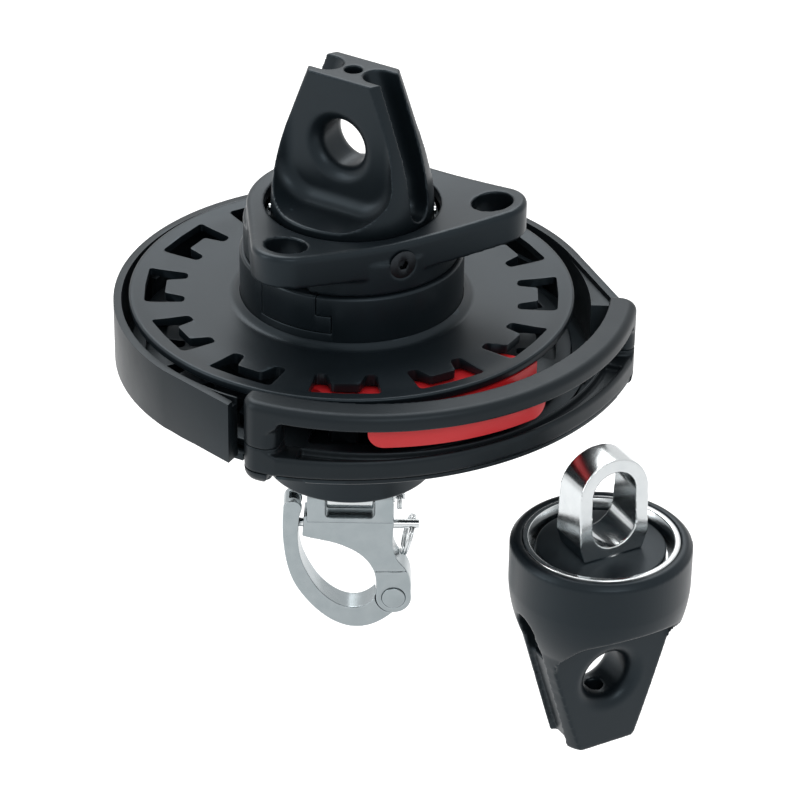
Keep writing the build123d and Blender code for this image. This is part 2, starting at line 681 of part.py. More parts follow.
def pocket_tool(angle):
    """Cutter for one U-shaped pocket of the tower, its floor joined to its wall by a deep cove."""
    with BuildPart(mode=Mode.PRIVATE) as tool:
        with BuildSketch(frame_at((0, 0, 0), 1, angle).offset(FLAT_HALF)) as outline:
            with Locations((0, (POCKET_BOTTOM + 140) / 2)):
                Rectangle(2 * POCKET_HALF, 140 - POCKET_BOTTOM)
            fillet(outline.vertices().group_by(Axis.Z)[0], radius=POCKET_CORNER)
        extrude(amount=40)
        towards = Axis((0, 0, 0), (cos(radians(angle)), sin(radians(angle)), 0))
        rim = tool.faces().sort_by(towards)[0].edges()
        fillet(rim.sort_by(Axis.Z)[:-1], radius=POCKET_COVE)
    return tool.part


def jaw_tool(angle):
    """Cutter for one flat of the head swivel's jaws: a face with a ledge that slopes away from it."""
    reach = 60.0
    slope = HEAD_LEDGE_H - (reach - HEAD_FLAT_HALF) * tan(radians(HEAD_LEDGE_SLOPE))
    with BuildPart(mode=Mode.PRIVATE) as tool:
        with BuildSketch(side_plane(HEAD, -1, angle)):
            with BuildLine():
                Polyline(
                    (HEAD_FLAT_HALF, 120), (HEAD_FLAT_HALF, HEAD_LEDGE_H), (reach, slope), (reach, 120), close=True
                )
            make_face()
        extrude(amount=HEAD_FLAT_WIDE, both=True)
        ledge = tool.faces().sort_by(Axis.Z)[-1]
        edges = [e for e in ledge.edges() if e.length > 50 and abs((e % 0.5).Z) > 0.1]
        fillet(edges, radius=HEAD_LEDGE_CORNER)
    return tool.part


def rope_channel(centre, up, angle, path):
    """Cutter for a rope channel: round at its floor along a path in the mid-plane, open outwards."""
    face = frame_at(centre, up, angle)
    points = [face.from_local_coords(Vector(s, h, 0)) for s, h in path]
    outside = copysign(60.0, path[-1][0])
    with BuildPart(mode=Mode.PRIVATE) as tool:
        for start, end in zip(points, points[1:]):
            with BuildSketch(Plane(origin=start, x_dir=face.z_dir, z_dir=end - start)):
                Circle(CHANNEL_R)
            extrude(amount=(end - start).length)
            with BuildSketch(Plane(origin=end, x_dir=end - start, z_dir=face.z_dir)):
                Circle(CHANNEL_R)
                with Locations((0, -CHANNEL_R)):
                    Rectangle(2 * CHANNEL_R, 2 * CHANNEL_R, mode=Mode.SUBTRACT)
            revolve(axis=Axis(end, end - start))
        with BuildSketch(face):
            with BuildLine():
                Polyline(*path, (outside, path[-1][1]), (outside, path[0][1]), close=True)
            make_face()
        extrude(amount=CHANNEL_R, both=True)
        with BuildSketch(Plane(origin=points[-1], x_dir=face.z_dir, z_dir=face.x_dir * copysign(1.0, outside))):
            Circle(CHANNEL_R)
        extrude(amount=40)
    return tool.part


def eye_hole(centre, up, angle, height, radius):
    """Cutter for the cross bore that takes the cable's eye."""
    with BuildPart(mode=Mode.PRIVATE) as tool:
        with BuildSketch(frame_at(centre, up, angle)):
            with Locations((0, height)):
                Circle(radius)
        extrude(amount=20, both=True)
    return tool.part


def mouth_edges(part, radius):
    """The two circular edges where the cross bore meets the flats."""
    return [e for e in part.edges().filter_by(GeomType.CIRCLE) if abs(e.radius - radius) < 0.01]


# Cable terminal: the black tower pinned on the drum's neck
with BuildPart() as cable_terminal:
    with BuildSketch(Plane.XZ):
        with BuildLine():
            Polyline(
                (0, TERMINAL_TOP), (0, NECK_TOP), (27.95, NECK_TOP), (27.95, NECK_TOP + 6.3),
                (31.05, NECK_TOP + 6.3), (31.05, NECK_TOP), (TERMINAL_R, NECK_TOP), (TERMINAL_R, 53),
            )
            ThreePointArc((TERMINAL_R, 53), (32.3, 72), (27.8, 90))
            Line((27.8, 90), (18.6, TERMINAL_TOP))
            Line((18.6, TERMINAL_TOP), (0, TERMINAL_TOP))
        make_face()
    revolve(axis=Axis.Z)
    for angle in (TERMINAL_ANGLE, TERMINAL_ANGLE + 180):
        add(pocket_tool(angle), mode=Mode.SUBTRACT)
    add(eye_hole((0, 0, 0), 1, TERMINAL_ANGLE, EYE_Z, EYE_BORE_R), mode=Mode.SUBTRACT)
    fillet(mouth_edges(cable_terminal, EYE_BORE_R), radius=MOUTH_ROUND)
    for side in (-1, 1):
        path = [(side * s, h) for s, h in CHANNEL_PATH]
        add(rope_channel((0, 0, 0), 1, TERMINAL_ANGLE, path), mode=Mode.SUBTRACT)
    with BuildSketch(Plane.XY.offset(TERMINAL_TOP)):
        Circle(LASHING_R)
    extrude(amount=EYE_Z - TERMINAL_TOP, mode=Mode.SUBTRACT)
    with BuildSketch(Plane.YZ):
        with Locations((0, PIN_HOLE_Z)):
            Circle(1.85)
    extrude(amount=40, both=True, mode=Mode.SUBTRACT)
save(cable_terminal.part, "cable_terminal")

with BuildPart() as terminal_pin:
    with BuildSketch(Plane.YZ):
        with Locations((0, PIN_HOLE_Z)):
            Circle(1.8)
    extrude(amount=34.8, both=True)
save(terminal_pin.part, "terminal_pin")

# Screw that closes the hole the balls are loaded through, here as a blank without its socket
PLUG_Z = 48.3
PLUG_ANGLE = -61.5
plug_face = Plane(
    origin=(*polar(COLLAR_R - 0.5, PLUG_ANGLE), PLUG_Z), z_dir=(cos(radians(PLUG_ANGLE)), sin(radians(PLUG_ANGLE)), 0)
)
with BuildPart(mode=Mode.PRIVATE) as plug_blank:
    with BuildSketch(plug_face):
        Circle(6)
    with BuildSketch(plug_face.offset(-2.9)):
        Circle(3)
    loft()
    with BuildSketch(plug_face):
        Circle(6)
    extrude(amount=1.2)
    with BuildSketch(plug_face):
        Circle(3)
    extrude(amount=-4)

# Tack swivel: a plate with two eyes that turns on balls round the neck
EAR_SPOTS = [polar(reach, angle) for reach, angle in EARS]
with BuildPart(mode=Mode.PRIVATE) as collar:
    add(turned((0, COLLAR_BOTTOM), (COLLAR_R, COLLAR_BOTTOM), (COLLAR_R, 50), (0, 50)))
    with BuildSketch(Plane.XY.offset(COLLAR_BOTTOM)):
        with Locations(*EAR_SPOTS):
            Circle(EAR_HOLE_R + 0.6)
    extrude(amount=20, mode=Mode.SUBTRACT)
with BuildPart() as tack_plate:
    with BuildSketch(Plane.XY.offset(40)):
        Circle(PLATE_R)
        with Locations(*EAR_SPOTS):
            Circle(EAR_R)
        make_hull()
    extrude(amount=30)
    add(
        turned((0, 43.8), (COLLAR_R, 43.8), (75, 48), (75, 61.9), (36, TACK_TOP), (0, TACK_TOP)),
        mode=Mode.INTERSECT,
    )
    top_rim = tack_plate.faces().filter_by(GeomType.CONE).sort_by(Axis.Z)[-1].edges()
    fillet([e for e in top_rim if Vector((e @ 0.5).X, (e @ 0.5).Y, 0).length > 40], radius=2)
    add(collar.part)
    add(
        turned((0, 30), (TACK_BORE_R, 30), (TACK_BORE_R, 51), (TACK_OPENING_R, 52), (TACK_OPENING_R, 70), (0, 70)),
        mode=Mode.SUBTRACT,
    )
    add(ball_groove(TACK_PITCH_R, TACK_BALL_Z, TACK_BALL_R), mode=Mode.SUBTRACT)
    with BuildSketch(Plane.XY.offset(40)):
        with Locations(*EAR_SPOTS):
            Circle(EAR_HOLE_R)
    extrude(amount=30, mode=Mode.SUBTRACT)
    add(plug_blank.part, mode=Mode.SUBTRACT)
save(tack_plate.part, "tack_plate")
save(ball_row(TACK_PITCH_R, TACK_BALL_Z, TACK_BALL_R, 14), "tack_balls")

with BuildPart() as ball_plug_screw:
    add(plug_blank.part)
    add(turned((41.2, 40), (COLLAR_R - 0.2, 40), (COLLAR_R - 0.2, 60), (41.2, 60)), mode=Mode.INTERSECT)
    with BuildSketch(plug_face.offset(1)):
        RegularPolygon(2.3, 6)
    extrude(amount=-3.4, mode=Mode.SUBTRACT)
save(ball_plug_screw.part, "ball_plug_screw")

# Shackle body: clevis prongs, flat plate with the plunger's bore, and cheeks for the gate's rivet
THROAT = (
    (-20.7, -105.0), (-13.9, -106.7), (-6.4, -108.5), (-0.1, -111.2), (5.3, -114.9),
    (9.6, -120.5), (11.5, -125.6), (12.1, -130.7), (11.8, -136.5),
)
BACK = ((27.0, -134.2), (27.0, -128.5), (25.0, -122.1), (21.8, -118.0), (19.4, -112.7), (18.8, -105.2), (19.3, -95.0))
CLEVIS_R = 8.4
CLEVIS_LEFT = -18.6
CLEVIS_RIGHT = 18.9
GAP_LEFT = -10.7
GAP_RIGHT = 10.9
GAP_FLOOR = -94.0
BOSS_BOTTOM = -97.0
LOBE_R = 7.8
CHEEK_HALF = 6.8
SLOT_HALF = 2.7
with BuildPart() as shackle_body:
    with BuildSketch(Plane.XZ):
        with BuildLine():
            Polyline((11.8, -136.5), (RIVET_X, RIVET_Z), (27.0, -134.2))
            Spline(*BACK)
            Polyline((19.3, -95), (CLEVIS_LEFT - 1.4, -95), (-20.7, -105))
            Spline(*THROAT)
        make_face()
    extrude(amount=SHACKLE_HALF_T, both=True)
    with BuildSketch(Plane.YZ.offset(CLEVIS_LEFT)):
        with Locations((0, PIN_Z)):
            Circle(CLEVIS_R)
        with Locations((0, (PIN_Z + BOSS_BOTTOM) / 2)):
            Rectangle(2 * CLEVIS_R, PIN_Z - BOSS_BOTTOM)
    extrude(amount=CLEVIS_RIGHT - CLEVIS_LEFT)
    low = shackle_body.faces().filter_by(Axis.Z).filter_by(lambda f: abs(f.center().Z - BOSS_BOTTOM) < 0.1)
    step = [e for f in low for e in f.edges().filter_by(Axis.X) if abs((e @ 0.5).Y) > CLEVIS_R - 0.1]
    fillet(step, radius=1.6)
    with BuildSketch(Plane.XZ) as gap:
        with Locations(((GAP_LEFT + GAP_RIGHT) / 2, (GAP_FLOOR + TONGUE_TOP) / 2)):
            Rectangle(GAP_RIGHT - GAP_LEFT, TONGUE_TOP - GAP_FLOOR)
        fillet(gap.vertices().group_by(Axis.Z)[0], radius=2.3)
    extrude(amount=20, both=True, mode=Mode.SUBTRACT)
    with BuildSketch(Plane.XZ) as lobe:
        with Locations((RIVET_X, RIVET_Z)):
            Circle(LOBE_R)
        with BuildLine():
            Polyline(
                (11.8, -136), (12, -130.7), (11.5, -125.6), (10.9, -123), (25.2, -122.6), (27, -129), (27, -135),
                close=True,
            )
        make_face()
    extrude(amount=CHEEK_HALF, both=True)
    with BuildSketch(Plane.XZ):
        with Locations((RIVET_X, RIVET_Z)):
            Circle(LOBE_R + 0.5)
    extrude(amount=SLOT_HALF, both=True, mode=Mode.SUBTRACT)
    with BuildSketch(Plane.XZ):
        with Locations((RIVET_X, RIVET_Z)):
            Circle(RIVET_R + BORE_FIT)
    extrude(amount=10, both=True, mode=Mode.SUBTRACT)
    with BuildSketch(Plane.YZ.offset(CLEVIS_LEFT - 5)):
        with Locations((0, PIN_Z)):
            Circle(PIN_R + BORE_FIT)
    extrude(amount=50, mode=Mode.SUBTRACT)
    with BuildSketch(Plane.YZ.offset(-30)):
        with Locations((0, PLUNGER_Z)):
            Circle(PLUNGER_R + BORE_FIT)
    extrude(amount=60, mode=Mode.SUBTRACT)
    with BuildSketch(Plane.YZ.offset(SPRING_LEFT - 1.8)):
        with Locations((0, PLUNGER_Z)):
            Circle(SPRING_R + BORE_FIT)
    extrude(amount=40, mode=Mode.SUBTRACT)
save(shackle_body.part, "shackle_body")

STUB_R = 2.4
RING_WIRE = 0.6
RING_HANG = 3.6
with BuildPart() as clevis_pin:
    with BuildSketch(Plane.YZ.offset(CLEVIS_LEFT)):
        with Locations((0, PIN_Z)):
            Circle(PIN_R)
    extrude(amount=CLEVIS_RIGHT + 0.6 - CLEVIS_LEFT)
    with BuildSketch(Plane.YZ.offset(CLEVIS_RIGHT)):
        with Locations((0, PIN_Z)):
            Circle(STUB_R)
    extrude(amount=5)
    with BuildSketch(Plane.XZ):
        with Locations((21.6, PIN_Z)):
            Rectangle(2.9, 2.5)
    extrude(amount=6, both=True, mode=Mode.SUBTRACT)
save(clevis_pin.part, "clevis_pin")

with BuildPart() as clevis_ring:
    for x in (21.1, 22.1):
        with BuildSketch(Plane.XZ):
            with Locations((x, PIN_Z + 0.3)):
                Circle(RING_WIRE)
        revolve(axis=Axis((x, 0, PIN_Z + 0.3 - RING_HANG), (1, 0, 0)))
save(clevis_ring.part, "clevis_ring")

with BuildPart() as gate_rivet:
    with BuildSketch(Plane.XZ):
        with Locations((RIVET_X, RIVET_Z)):
            Circle(RIVET_R)
    extrude(amount=CHEEK_HALF + 0.5, both=True)
save(gate_rivet.part, "gate_rivet")

# Shackle gate: the curved bow, its tip forked to straddle the plunger
GATE_OUT = (
    (-29.0, -92.0), (-29.3, -103.6), (-28.7, -111.7), (-27.1, -121.2), (-24.0, -130.1), (-19.7, -137.1),
    (-13.8, -144.0), (-6.3, -149.7), (2.3, -152.3), (9.8, -151.0), (16.8, -146.7), (21.8, -141.7),
)
GATE_IN = (
    (12.1, -136.1), (9.2, -139.1), (4.4, -141.8), (-2.0, -141.6), (-7.4, -138.8), (-13.3, -133.1),
    (-17.6, -126.1), (-20.8, -118.6), (-22.3, -111.0), (-22.6, -103.4),
)
with BuildPart() as shackle_gate:
    with BuildSketch(Plane.XZ):
        with BuildLine():
            Spline(*GATE_OUT)
            Polyline((21.8, -141.7), (RIVET_X, RIVET_Z), (12.1, -136.1))
            Spline(*GATE_IN)
            Polyline((-22.6, -103.4), (-22.0, -95.5), (-20.9, -91.2))
            ThreePointArc((-20.9, -91.2), (-23.9, -87.4), (-29.0, -92.0))
        make_face()
    extrude(amount=SHACKLE_HALF_T, both=True)
    with BuildSketch(Plane.XZ):
        with Locations((RIVET_X, RIVET_Z)):
            Circle(LOBE_R + 0.4)
    extrude(amount=20, both=True, mode=Mode.SUBTRACT)
    with BuildSketch(Plane.XZ):
        with Locations((RIVET_X, RIVET_Z)):
            Circle(LOBE_R - 0.2)
        with BuildLine():
            Polyline((12.5, -137.2), (10, -146), (20.5, -143.5), (RIVET_X, RIVET_Z), close=True)
        make_face()
        with Locations((RIVET_X, RIVET_Z)):
            Circle(RIVET_R + BORE_FIT, mode=Mode.SUBTRACT)
    extrude(amount=SLOT_HALF - 0.2, both=True)
    with BuildSketch(Plane.XZ):
        with BuildLine():
            Polyline((-26.4, -104.6), (-18, -104.6), (-18, -80), (-26.4, -80), close=True)
        make_face()
    extrude(amount=PLUNGER_R + 0.6, both=True, mode=Mode.SUBTRACT)
save(shackle_gate.part, "shackle_gate")

# Plunger, its spring, the threaded guide behind it and its pull ring, which hangs tilted through the plunger's end
PLUNGER_TIP = -25.6
PULL_X = 27.6
PULL_TILT = 15.0
PULL_R = 8.9
PULL_SIDE = 3.8


def pull_coils(wire_r):
    """The pull ring's two coils side by side, or the tunnel they need for a thicker wire."""
    drop = sqrt(PULL_R ** 2 - PULL_SIDE ** 2)
    down = Vector(-sin(radians(PULL_TILT)), 0, -cos(radians(PULL_TILT)))
    across = Vector(cos(radians(PULL_TILT)), 0, -sin(radians(PULL_TILT)))
    with BuildPart(mode=Mode.PRIVATE) as coils:
        for shift in (-RING_WIRE, RING_WIRE):
            middle = Vector(PULL_X, PULL_SIDE, PLUNGER_Z) + down * drop + across * shift
            with BuildSketch(Plane(origin=middle, x_dir=down, z_dir=(0, 1, 0))):
                with Locations((PULL_R, 0)):
                    Circle(wire_r)
            revolve(axis=Axis(middle, across))
    return coils.part


with BuildPart() as plunger_pin:
    with BuildSketch(Plane.YZ.offset(PLUNGER_TIP)):
        with Locations((0, PLUNGER_Z)):
            Circle(PLUNGER_R)
    extrude(amount=30.2 - PLUNGER_TIP)
    with BuildSketch(Plane.YZ.offset(SPRING_LEFT - 1.5)):
        with Locations((0, PLUNGER_Z)):
            Circle(SPRING_R - 0.1)
    extrude(amount=1.5)
    add(pull_coils(RING_WIRE + 0.2), mode=Mode.SUBTRACT)
save(plunger_pin.part, "plunger_pin")

with BuildPart() as plunger_guide:
    with BuildSketch(Plane.YZ.offset(SPRING_RIGHT)):
        with Locations((0, PLUNGER_Z)):
            Circle(SPRING_R)
            Circle(PLUNGER_R + BORE_FIT, mode=Mode.SUBTRACT)
    extrude(amount=5)
save(plunger_guide.part, "plunger_guide")

SPRING_WIRE = 0.4
with BuildPart() as plunger_spring:
    with BuildLine() as coil:
        Helix(
            pitch=3.8, height=SPRING_RIGHT - SPRING_LEFT - 1.2, radius=2.8,
            center=(SPRING_LEFT + SPRING_WIRE + 0.1, 0, PLUNGER_Z), direction=(1, 0, 0),
        )
    with BuildSketch(Plane(origin=coil.line @ 0, z_dir=coil.line % 0)):
        Circle(SPRING_WIRE)
    sweep()
save(plunger_spring.part, "plunger_spring")

save(pull_coils(RING_WIRE - 0.02), "plunger_ring")

# Head swivel: its jaws hold the cable's upper eye, its own eye takes the halyard
HEAD_BALL_R = 2.2
HEAD_PITCH_R = 23.0
HEAD_BALL_H = 12.0
HEAD_BORE_R = 10.5
with BuildPart() as head_housing:
    with BuildSketch(Plane(origin=HEAD, x_dir=(1, 0, 0), z_dir=(0, 1, 0))):
        with BuildLine():
            Polyline(
                (16.6, HEAD_FOOT), (0, HEAD_FOOT), (0, 21), (28.5, 21), (28.5, 10), (32.4, 10), (32.4, 0),
                (HEAD_R - 2.2, 0), (HEAD_R, 2.2), (HEAD_R, 20),
            )
            ThreePointArc((HEAD_R, 20), (35.9, 31), (31.8, 43))
            Line((31.8, 43), (17.8, HEAD_FOOT - 1.2))
            Line((17.8, HEAD_FOOT - 1.2), (16.6, HEAD_FOOT))
        make_face()
    revolve(axis=Axis(HEAD, (0, 0, 1)))
    for angle in (HEAD_ANGLE, HEAD_ANGLE + 180):
        add(jaw_tool(angle), mode=Mode.SUBTRACT)
    add(eye_hole(HEAD, -1, HEAD_ANGLE, HEAD_EYE_H, HEAD_BORE_R), mode=Mode.SUBTRACT)
    fillet(mouth_edges(head_housing, HEAD_BORE_R), radius=MOUTH_ROUND)
    for side in (-1, 1):
        path = [(side * s, h) for s, h in HEAD_CHANNEL_PATH]
        add(rope_channel(HEAD, -1, HEAD_ANGLE, path), mode=Mode.SUBTRACT)
    with BuildSketch(Plane((HEAD_X, HEAD_Y, HEAD_RIM_Z - HEAD_FOOT))):
        Circle(LASHING_R)
    extrude(amount=HEAD_FOOT - HEAD_EYE_H, mode=Mode.SUBTRACT)
save(head_housing.part, "head_housing")

with BuildPart() as head_race:
    add(turned((17, 7), (32.35, 7), (32.35, 10), (17, 10), centre=HEAD, up=-1))
    add(ball_groove(HEAD_PITCH_R, -HEAD_BALL_H, HEAD_BALL_R, centre=HEAD), mode=Mode.SUBTRACT)
save(head_race.part, "head_race")
save(
    turned((27.2, 7), (29.8, 0.6), (30.4, 0), (32.35, 0), (32.35, 7), centre=HEAD, up=-1), "head_retaining_ring"
)
save(ball_row(HEAD_PITCH_R, -HEAD_BALL_H, HEAD_BALL_R, 14, centre=HEAD), "head_balls")
save(turned((10.05, 3.5), (26.6, 3.5), (26.6, 6.2), (10.05, 6.2), centre=HEAD, up=-1), "head_cover")

with BuildPart() as head_nut:
    add(turned((10.05, 14), (27, 14), (27, 17), (10.05, 17), centre=HEAD, up=-1))
    with BuildSketch(Plane((HEAD_X, HEAD_Y, HEAD_RIM_Z - 17))):
        RegularPolygon(16, 6)
        Circle(10.05, mode=Mode.SUBTRACT)
    extrude(amount=-3.4)
    add(ball_groove(HEAD_PITCH_R, -HEAD_BALL_H, HEAD_BALL_R, centre=HEAD), mode=Mode.SUBTRACT)
save(head_nut.part, "head_nut")

EYE_HALF_W = 16.0
EYE_TOP = 40.5
EYE_SLOT_R = 10.2
EYE_SLOT_LOW = 11.0
EYE_MID = EYE_TOP - EYE_HALF_W
with BuildPart() as head_eye:
    with BuildSketch(frame_at(HEAD, 1, HEAD_ANGLE)):
        with Locations((0, EYE_MID)):
            Circle(EYE_HALF_W)
        with BuildLine():
            Polyline(
                (-EYE_HALF_W + 2.5, -3.5), (EYE_HALF_W - 2.5, -3.5), (EYE_HALF_W, 4), (EYE_HALF_W, EYE_MID),
                (-EYE_HALF_W, EYE_MID), (-EYE_HALF_W, 4), close=True,
            )
        make_face()
        with Locations((0, (EYE_SLOT_LOW + EYE_MID) / 2)):
            Rectangle(2 * EYE_SLOT_R, EYE_MID - EYE_SLOT_LOW, mode=Mode.SUBTRACT)
        with Locations((0, EYE_SLOT_LOW), (0, EYE_MID)):
            Circle(EYE_SLOT_R, mode=Mode.SUBTRACT)
    extrude(amount=12, both=True)
    with BuildSketch(side_plane(HEAD, 1, HEAD_ANGLE)):
        with BuildLine():
            Polyline(
                (-9.5, -3.5), (9.5, -3.5), (9.5, 6), (7, EYE_TOP + 1), (-7, EYE_TOP + 1), (-9.5, 6), close=True
            )
        make_face()
    extrude(amount=30, both=True, mode=Mode.INTERSECT)
    add(turned((0, 3.5), (10, 3.5), (10, 20.5), (0, 20.5), centre=HEAD, up=-1))
save(head_eye.part, "head_eye")
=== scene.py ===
"""Looks of the top-down furler: drum unit with tack swivel and snap shackle, and its head swivel.

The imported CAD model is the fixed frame. Each operator dresses one piece or one group of like pieces,
and every finished piece rides on the CAD body that carries it. Sizes in the code are millimetres.
"""

import json
import math

import bmesh
import bpy
from mathutils import Matrix, Vector


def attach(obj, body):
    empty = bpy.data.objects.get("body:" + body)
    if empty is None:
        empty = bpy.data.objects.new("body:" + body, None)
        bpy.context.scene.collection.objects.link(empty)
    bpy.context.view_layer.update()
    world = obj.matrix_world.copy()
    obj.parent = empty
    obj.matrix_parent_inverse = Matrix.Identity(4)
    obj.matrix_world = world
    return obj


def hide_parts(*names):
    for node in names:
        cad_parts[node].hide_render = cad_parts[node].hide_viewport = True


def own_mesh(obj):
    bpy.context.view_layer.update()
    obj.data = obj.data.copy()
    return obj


bl_info = {
    "name": "Top-down furler",
    "version": (1, 0, 0),
    "blender": (4, 5, 0),
    "location": "View3D > Sidebar > Furler",
    "description": "Dresses the packed furler and its head swivel with finished pieces and materials",
    "category": "Object",
}

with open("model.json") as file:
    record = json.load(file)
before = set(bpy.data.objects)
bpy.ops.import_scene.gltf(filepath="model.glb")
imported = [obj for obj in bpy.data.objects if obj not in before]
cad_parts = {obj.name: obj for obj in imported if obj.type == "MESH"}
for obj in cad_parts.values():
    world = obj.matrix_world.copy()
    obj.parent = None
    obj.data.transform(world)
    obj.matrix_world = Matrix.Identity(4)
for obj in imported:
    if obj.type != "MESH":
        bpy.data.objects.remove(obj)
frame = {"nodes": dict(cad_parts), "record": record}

MM = 0.001
SMOOTH = math.radians(32)


# Numbers and colours

def linear(code):
    """Linear colour with full alpha from an sRGB hex value."""
    parts = [int(code[i:i + 2], 16) / 255 for i in (1, 3, 5)]
    return [p / 12.92 if p <= 0.04045 else ((p + 0.055) / 1.055) ** 2.4 for p in parts] + [1.0]


def polar(radius, angle, x=0.0, y=0.0):
    """Point in plan at a radius and an angle in degrees from a centre."""
    return (x + radius * math.cos(math.radians(angle)), y + radius * math.sin(math.radians(angle)))


def arc(radius, start, end, count, x=0.0, y=0.0):
    """Points along an arc, both ends included."""
    return [polar(radius, start + (end - start) * i / count, x, y) for i in range(count + 1)]


def smooth_line(points, count):
    """Points evenly spread on a plane curve that runs smoothly through the given ones."""
    pts = [Vector(p) for p in points]
    pts = [2 * pts[0] - pts[1]] + pts + [2 * pts[-1] - pts[-2]]
    curve = []
    for a, b, c, d in zip(pts, pts[1:], pts[2:], pts[3:]):
        for i in range(24):
            t = i / 24
            curve.append(0.5 * (2 * b + (c - a) * t + (2 * a - 5 * b + 4 * c - d) * t * t
                                + (3 * b - a - 3 * c + d) * t ** 3))
    curve.append(pts[-2])
    lengths = [0.0]
    for a, b in zip(curve, curve[1:]):
        lengths.append(lengths[-1] + (b - a).length)
    out = []
    k = 0
    for i in range(count + 1):
        goal = lengths[-1] * i / count
        while k < len(lengths) - 2 and lengths[k + 1] < goal:
            k += 1
        span = lengths[k + 1] - lengths[k]
        out.append(tuple(curve[k].lerp(curve[k + 1], (goal - lengths[k]) / span if span else 0)))
    return out


def rounded(points, radii, steps=5):
    """Closed outline with its corners rounded, each to its own radius."""
    out = []
    n = len(points)
    for i, p in enumerate(points):
        radius = radii[i]
        here = Vector(p)
        back = (Vector(points[i - 1]) - here).normalized()
        on = (Vector(points[(i + 1) % n]) - here).normalized()
        half = back.angle(on) / 2
        if radius <= 0 or half > math.pi / 2 - 0.02:
            out.append(tuple(here))
            continue
        reach = radius / math.tan(half)
        centre = here + (back + on).normalized() * radius / math.sin(half)
        first = here + back * reach - centre
        last = here + on * reach - centre
        turn = first.angle_signed(last)
        for k in range(steps + 1):
            spin = Matrix.Rotation(-turn * k / steps, 2)
            out.append(tuple(centre + spin @ first))
    return out


# Meshes

def new_object(name, verts, faces):
    """Object from corners in millimetres and faces, its doubles merged and its faces turned outwards."""
    mesh = bpy.data.meshes.new(name)
    mesh.from_pydata([(x * MM, y * MM, z * MM) for x, y, z in verts], [], faces)
    obj = bpy.data.objects.new(name, mesh)
    bpy.context.scene.collection.objects.link(obj)
    tidy(obj)
    return obj


def tidy(obj, distance=0.004):
    """Merges doubles and turns the faces of a closed mesh outwards."""
    bm = bmesh.new()
    bm.from_mesh(obj.data)
    bmesh.ops.remove_doubles(bm, verts=bm.verts, dist=distance * MM)
    bmesh.ops.dissolve_degenerate(bm, edges=bm.edges, dist=0.001 * MM)
    bmesh.ops.recalc_face_normals(bm, faces=bm.faces)
    bm.to_mesh(obj.data)
    bm.free()


def place(obj, matrix):
    """Moves a mesh by a matrix in millimetres, leaving the object itself at the origin."""
    turned = matrix.copy()
    turned.translation = matrix.translation * MM
    obj.data.transform(turned)
    return obj


def lathe(name, profile, segments=160, closed=True, start=0.0, sweep=360.0):
    """Solid turned about Z from a closed profile of (radius, height) points."""
    full = sweep >= 360
    count = segments if full else segments + 1
    verts = []
    for i in range(count):
        angle = math.radians(start + sweep * i / segments)
        verts += [(r * math.cos(angle), r * math.sin(angle), z) for r, z in profile]
    n = len(profile)
    faces = []
    for i in range(segments):
        a = i * n
        b = ((i + 1) % count) * n
        for k in range(n if closed else n - 1):
            m = (k + 1) % n
            faces.append((a + k, b + k, b + m, a + m))
    if not full:
        faces.append(tuple(range(n)))
        faces.append(tuple(range((count - 1) * n, count * n)))
    return new_object(name, verts, faces)


def stack(name, rings):
    """Solid from outlines of equal length, each with its own heights, closed at both ends."""
    n = len(rings[0])
    verts = [p for ring in rings for p in ring]
    faces = [tuple(range(n)), tuple(range((len(rings) - 1) * n, len(rings) * n))]
    for k in range(len(rings) - 1):
        for i in range(n):
            m = (i + 1) % n
            faces.append((k * n + i, k * n + m, (k + 1) * n + m, (k + 1) * n + i))
    return new_object(name, verts, faces)


def prism(name, outline, low, high):
    """Flat plate from an outline in plan."""
    return stack(name, [[(x, y, low) for x, y in outline], [(x, y, high) for x, y in outline]])


def applied(obj):
    """Gives an object the mesh that its modifiers make, and drops them."""
    graph = bpy.context.evaluated_depsgraph_get()
    mesh = bpy.data.meshes.new_from_object(obj.evaluated_get(graph))
    obj.modifiers.clear()
    old = obj.data
    obj.data = mesh
    bpy.data.meshes.remove(old)
    return obj


def combine(obj, others, operation="DIFFERENCE"):
    """Cuts, joins or crosses a solid with others, which are used up."""
    for other in others:
        step = obj.modifiers.new("combine", "BOOLEAN")
        step.operation = operation
        step.solver = "EXACT"
        step.object = other
        applied(obj)
        bpy.data.objects.remove(other)
    return obj


def soften(obj, width, segments, angle, merge):
    """Rounds the edges of a solid by a small bevel."""
    tidy(obj, merge)
    step = obj.modifiers.new("round", "BEVEL")
    step.width = width * MM
    step.segments = segments
    step.limit_method = "ANGLE"
    step.angle_limit = math.radians(angle)
    step.use_clamp_overlap = True
    step.miter_outer = "MITER_ARC"
    return applied(obj)


def cast(obj, voxel, rounds):
    """Gives a solid the soft edges of a casting: remeshed evenly, then eased."""
    step = obj.modifiers.new("even", "REMESH")
    step.mode = "VOXEL"
    step.voxel_size = voxel * MM
    ease = obj.modifiers.new("ease", "SMOOTH")
    ease.factor = 0.5
    ease.iterations = rounds
    return applied(obj)


def shade(obj, angle=SMOOTH):
    """Smooth shading with sharp edges kept above an angle."""
    mesh = obj.data
    mesh.polygons.foreach_set("use_smooth", [True] * len(mesh.polygons))
    mesh.set_sharp_from_angle(angle=angle)


def joined_copy(node, name):
    """Copy of a CAD node's mesh with its loose triangles joined into one skin."""
    obj = bpy.data.objects.new(name, frame["nodes"][node].data.copy())
    bpy.context.scene.collection.objects.link(obj)
    obj.data.materials.clear()
    bm = bmesh.new()
    bm.from_mesh(obj.data)
    bmesh.ops.remove_doubles(bm, verts=bm.verts, dist=0.002 * MM)
    bmesh.ops.dissolve_limit(bm, angle_limit=math.radians(0.2), verts=bm.verts, edges=bm.edges)
    bm.to_mesh(obj.data)
    bm.free()
    return obj


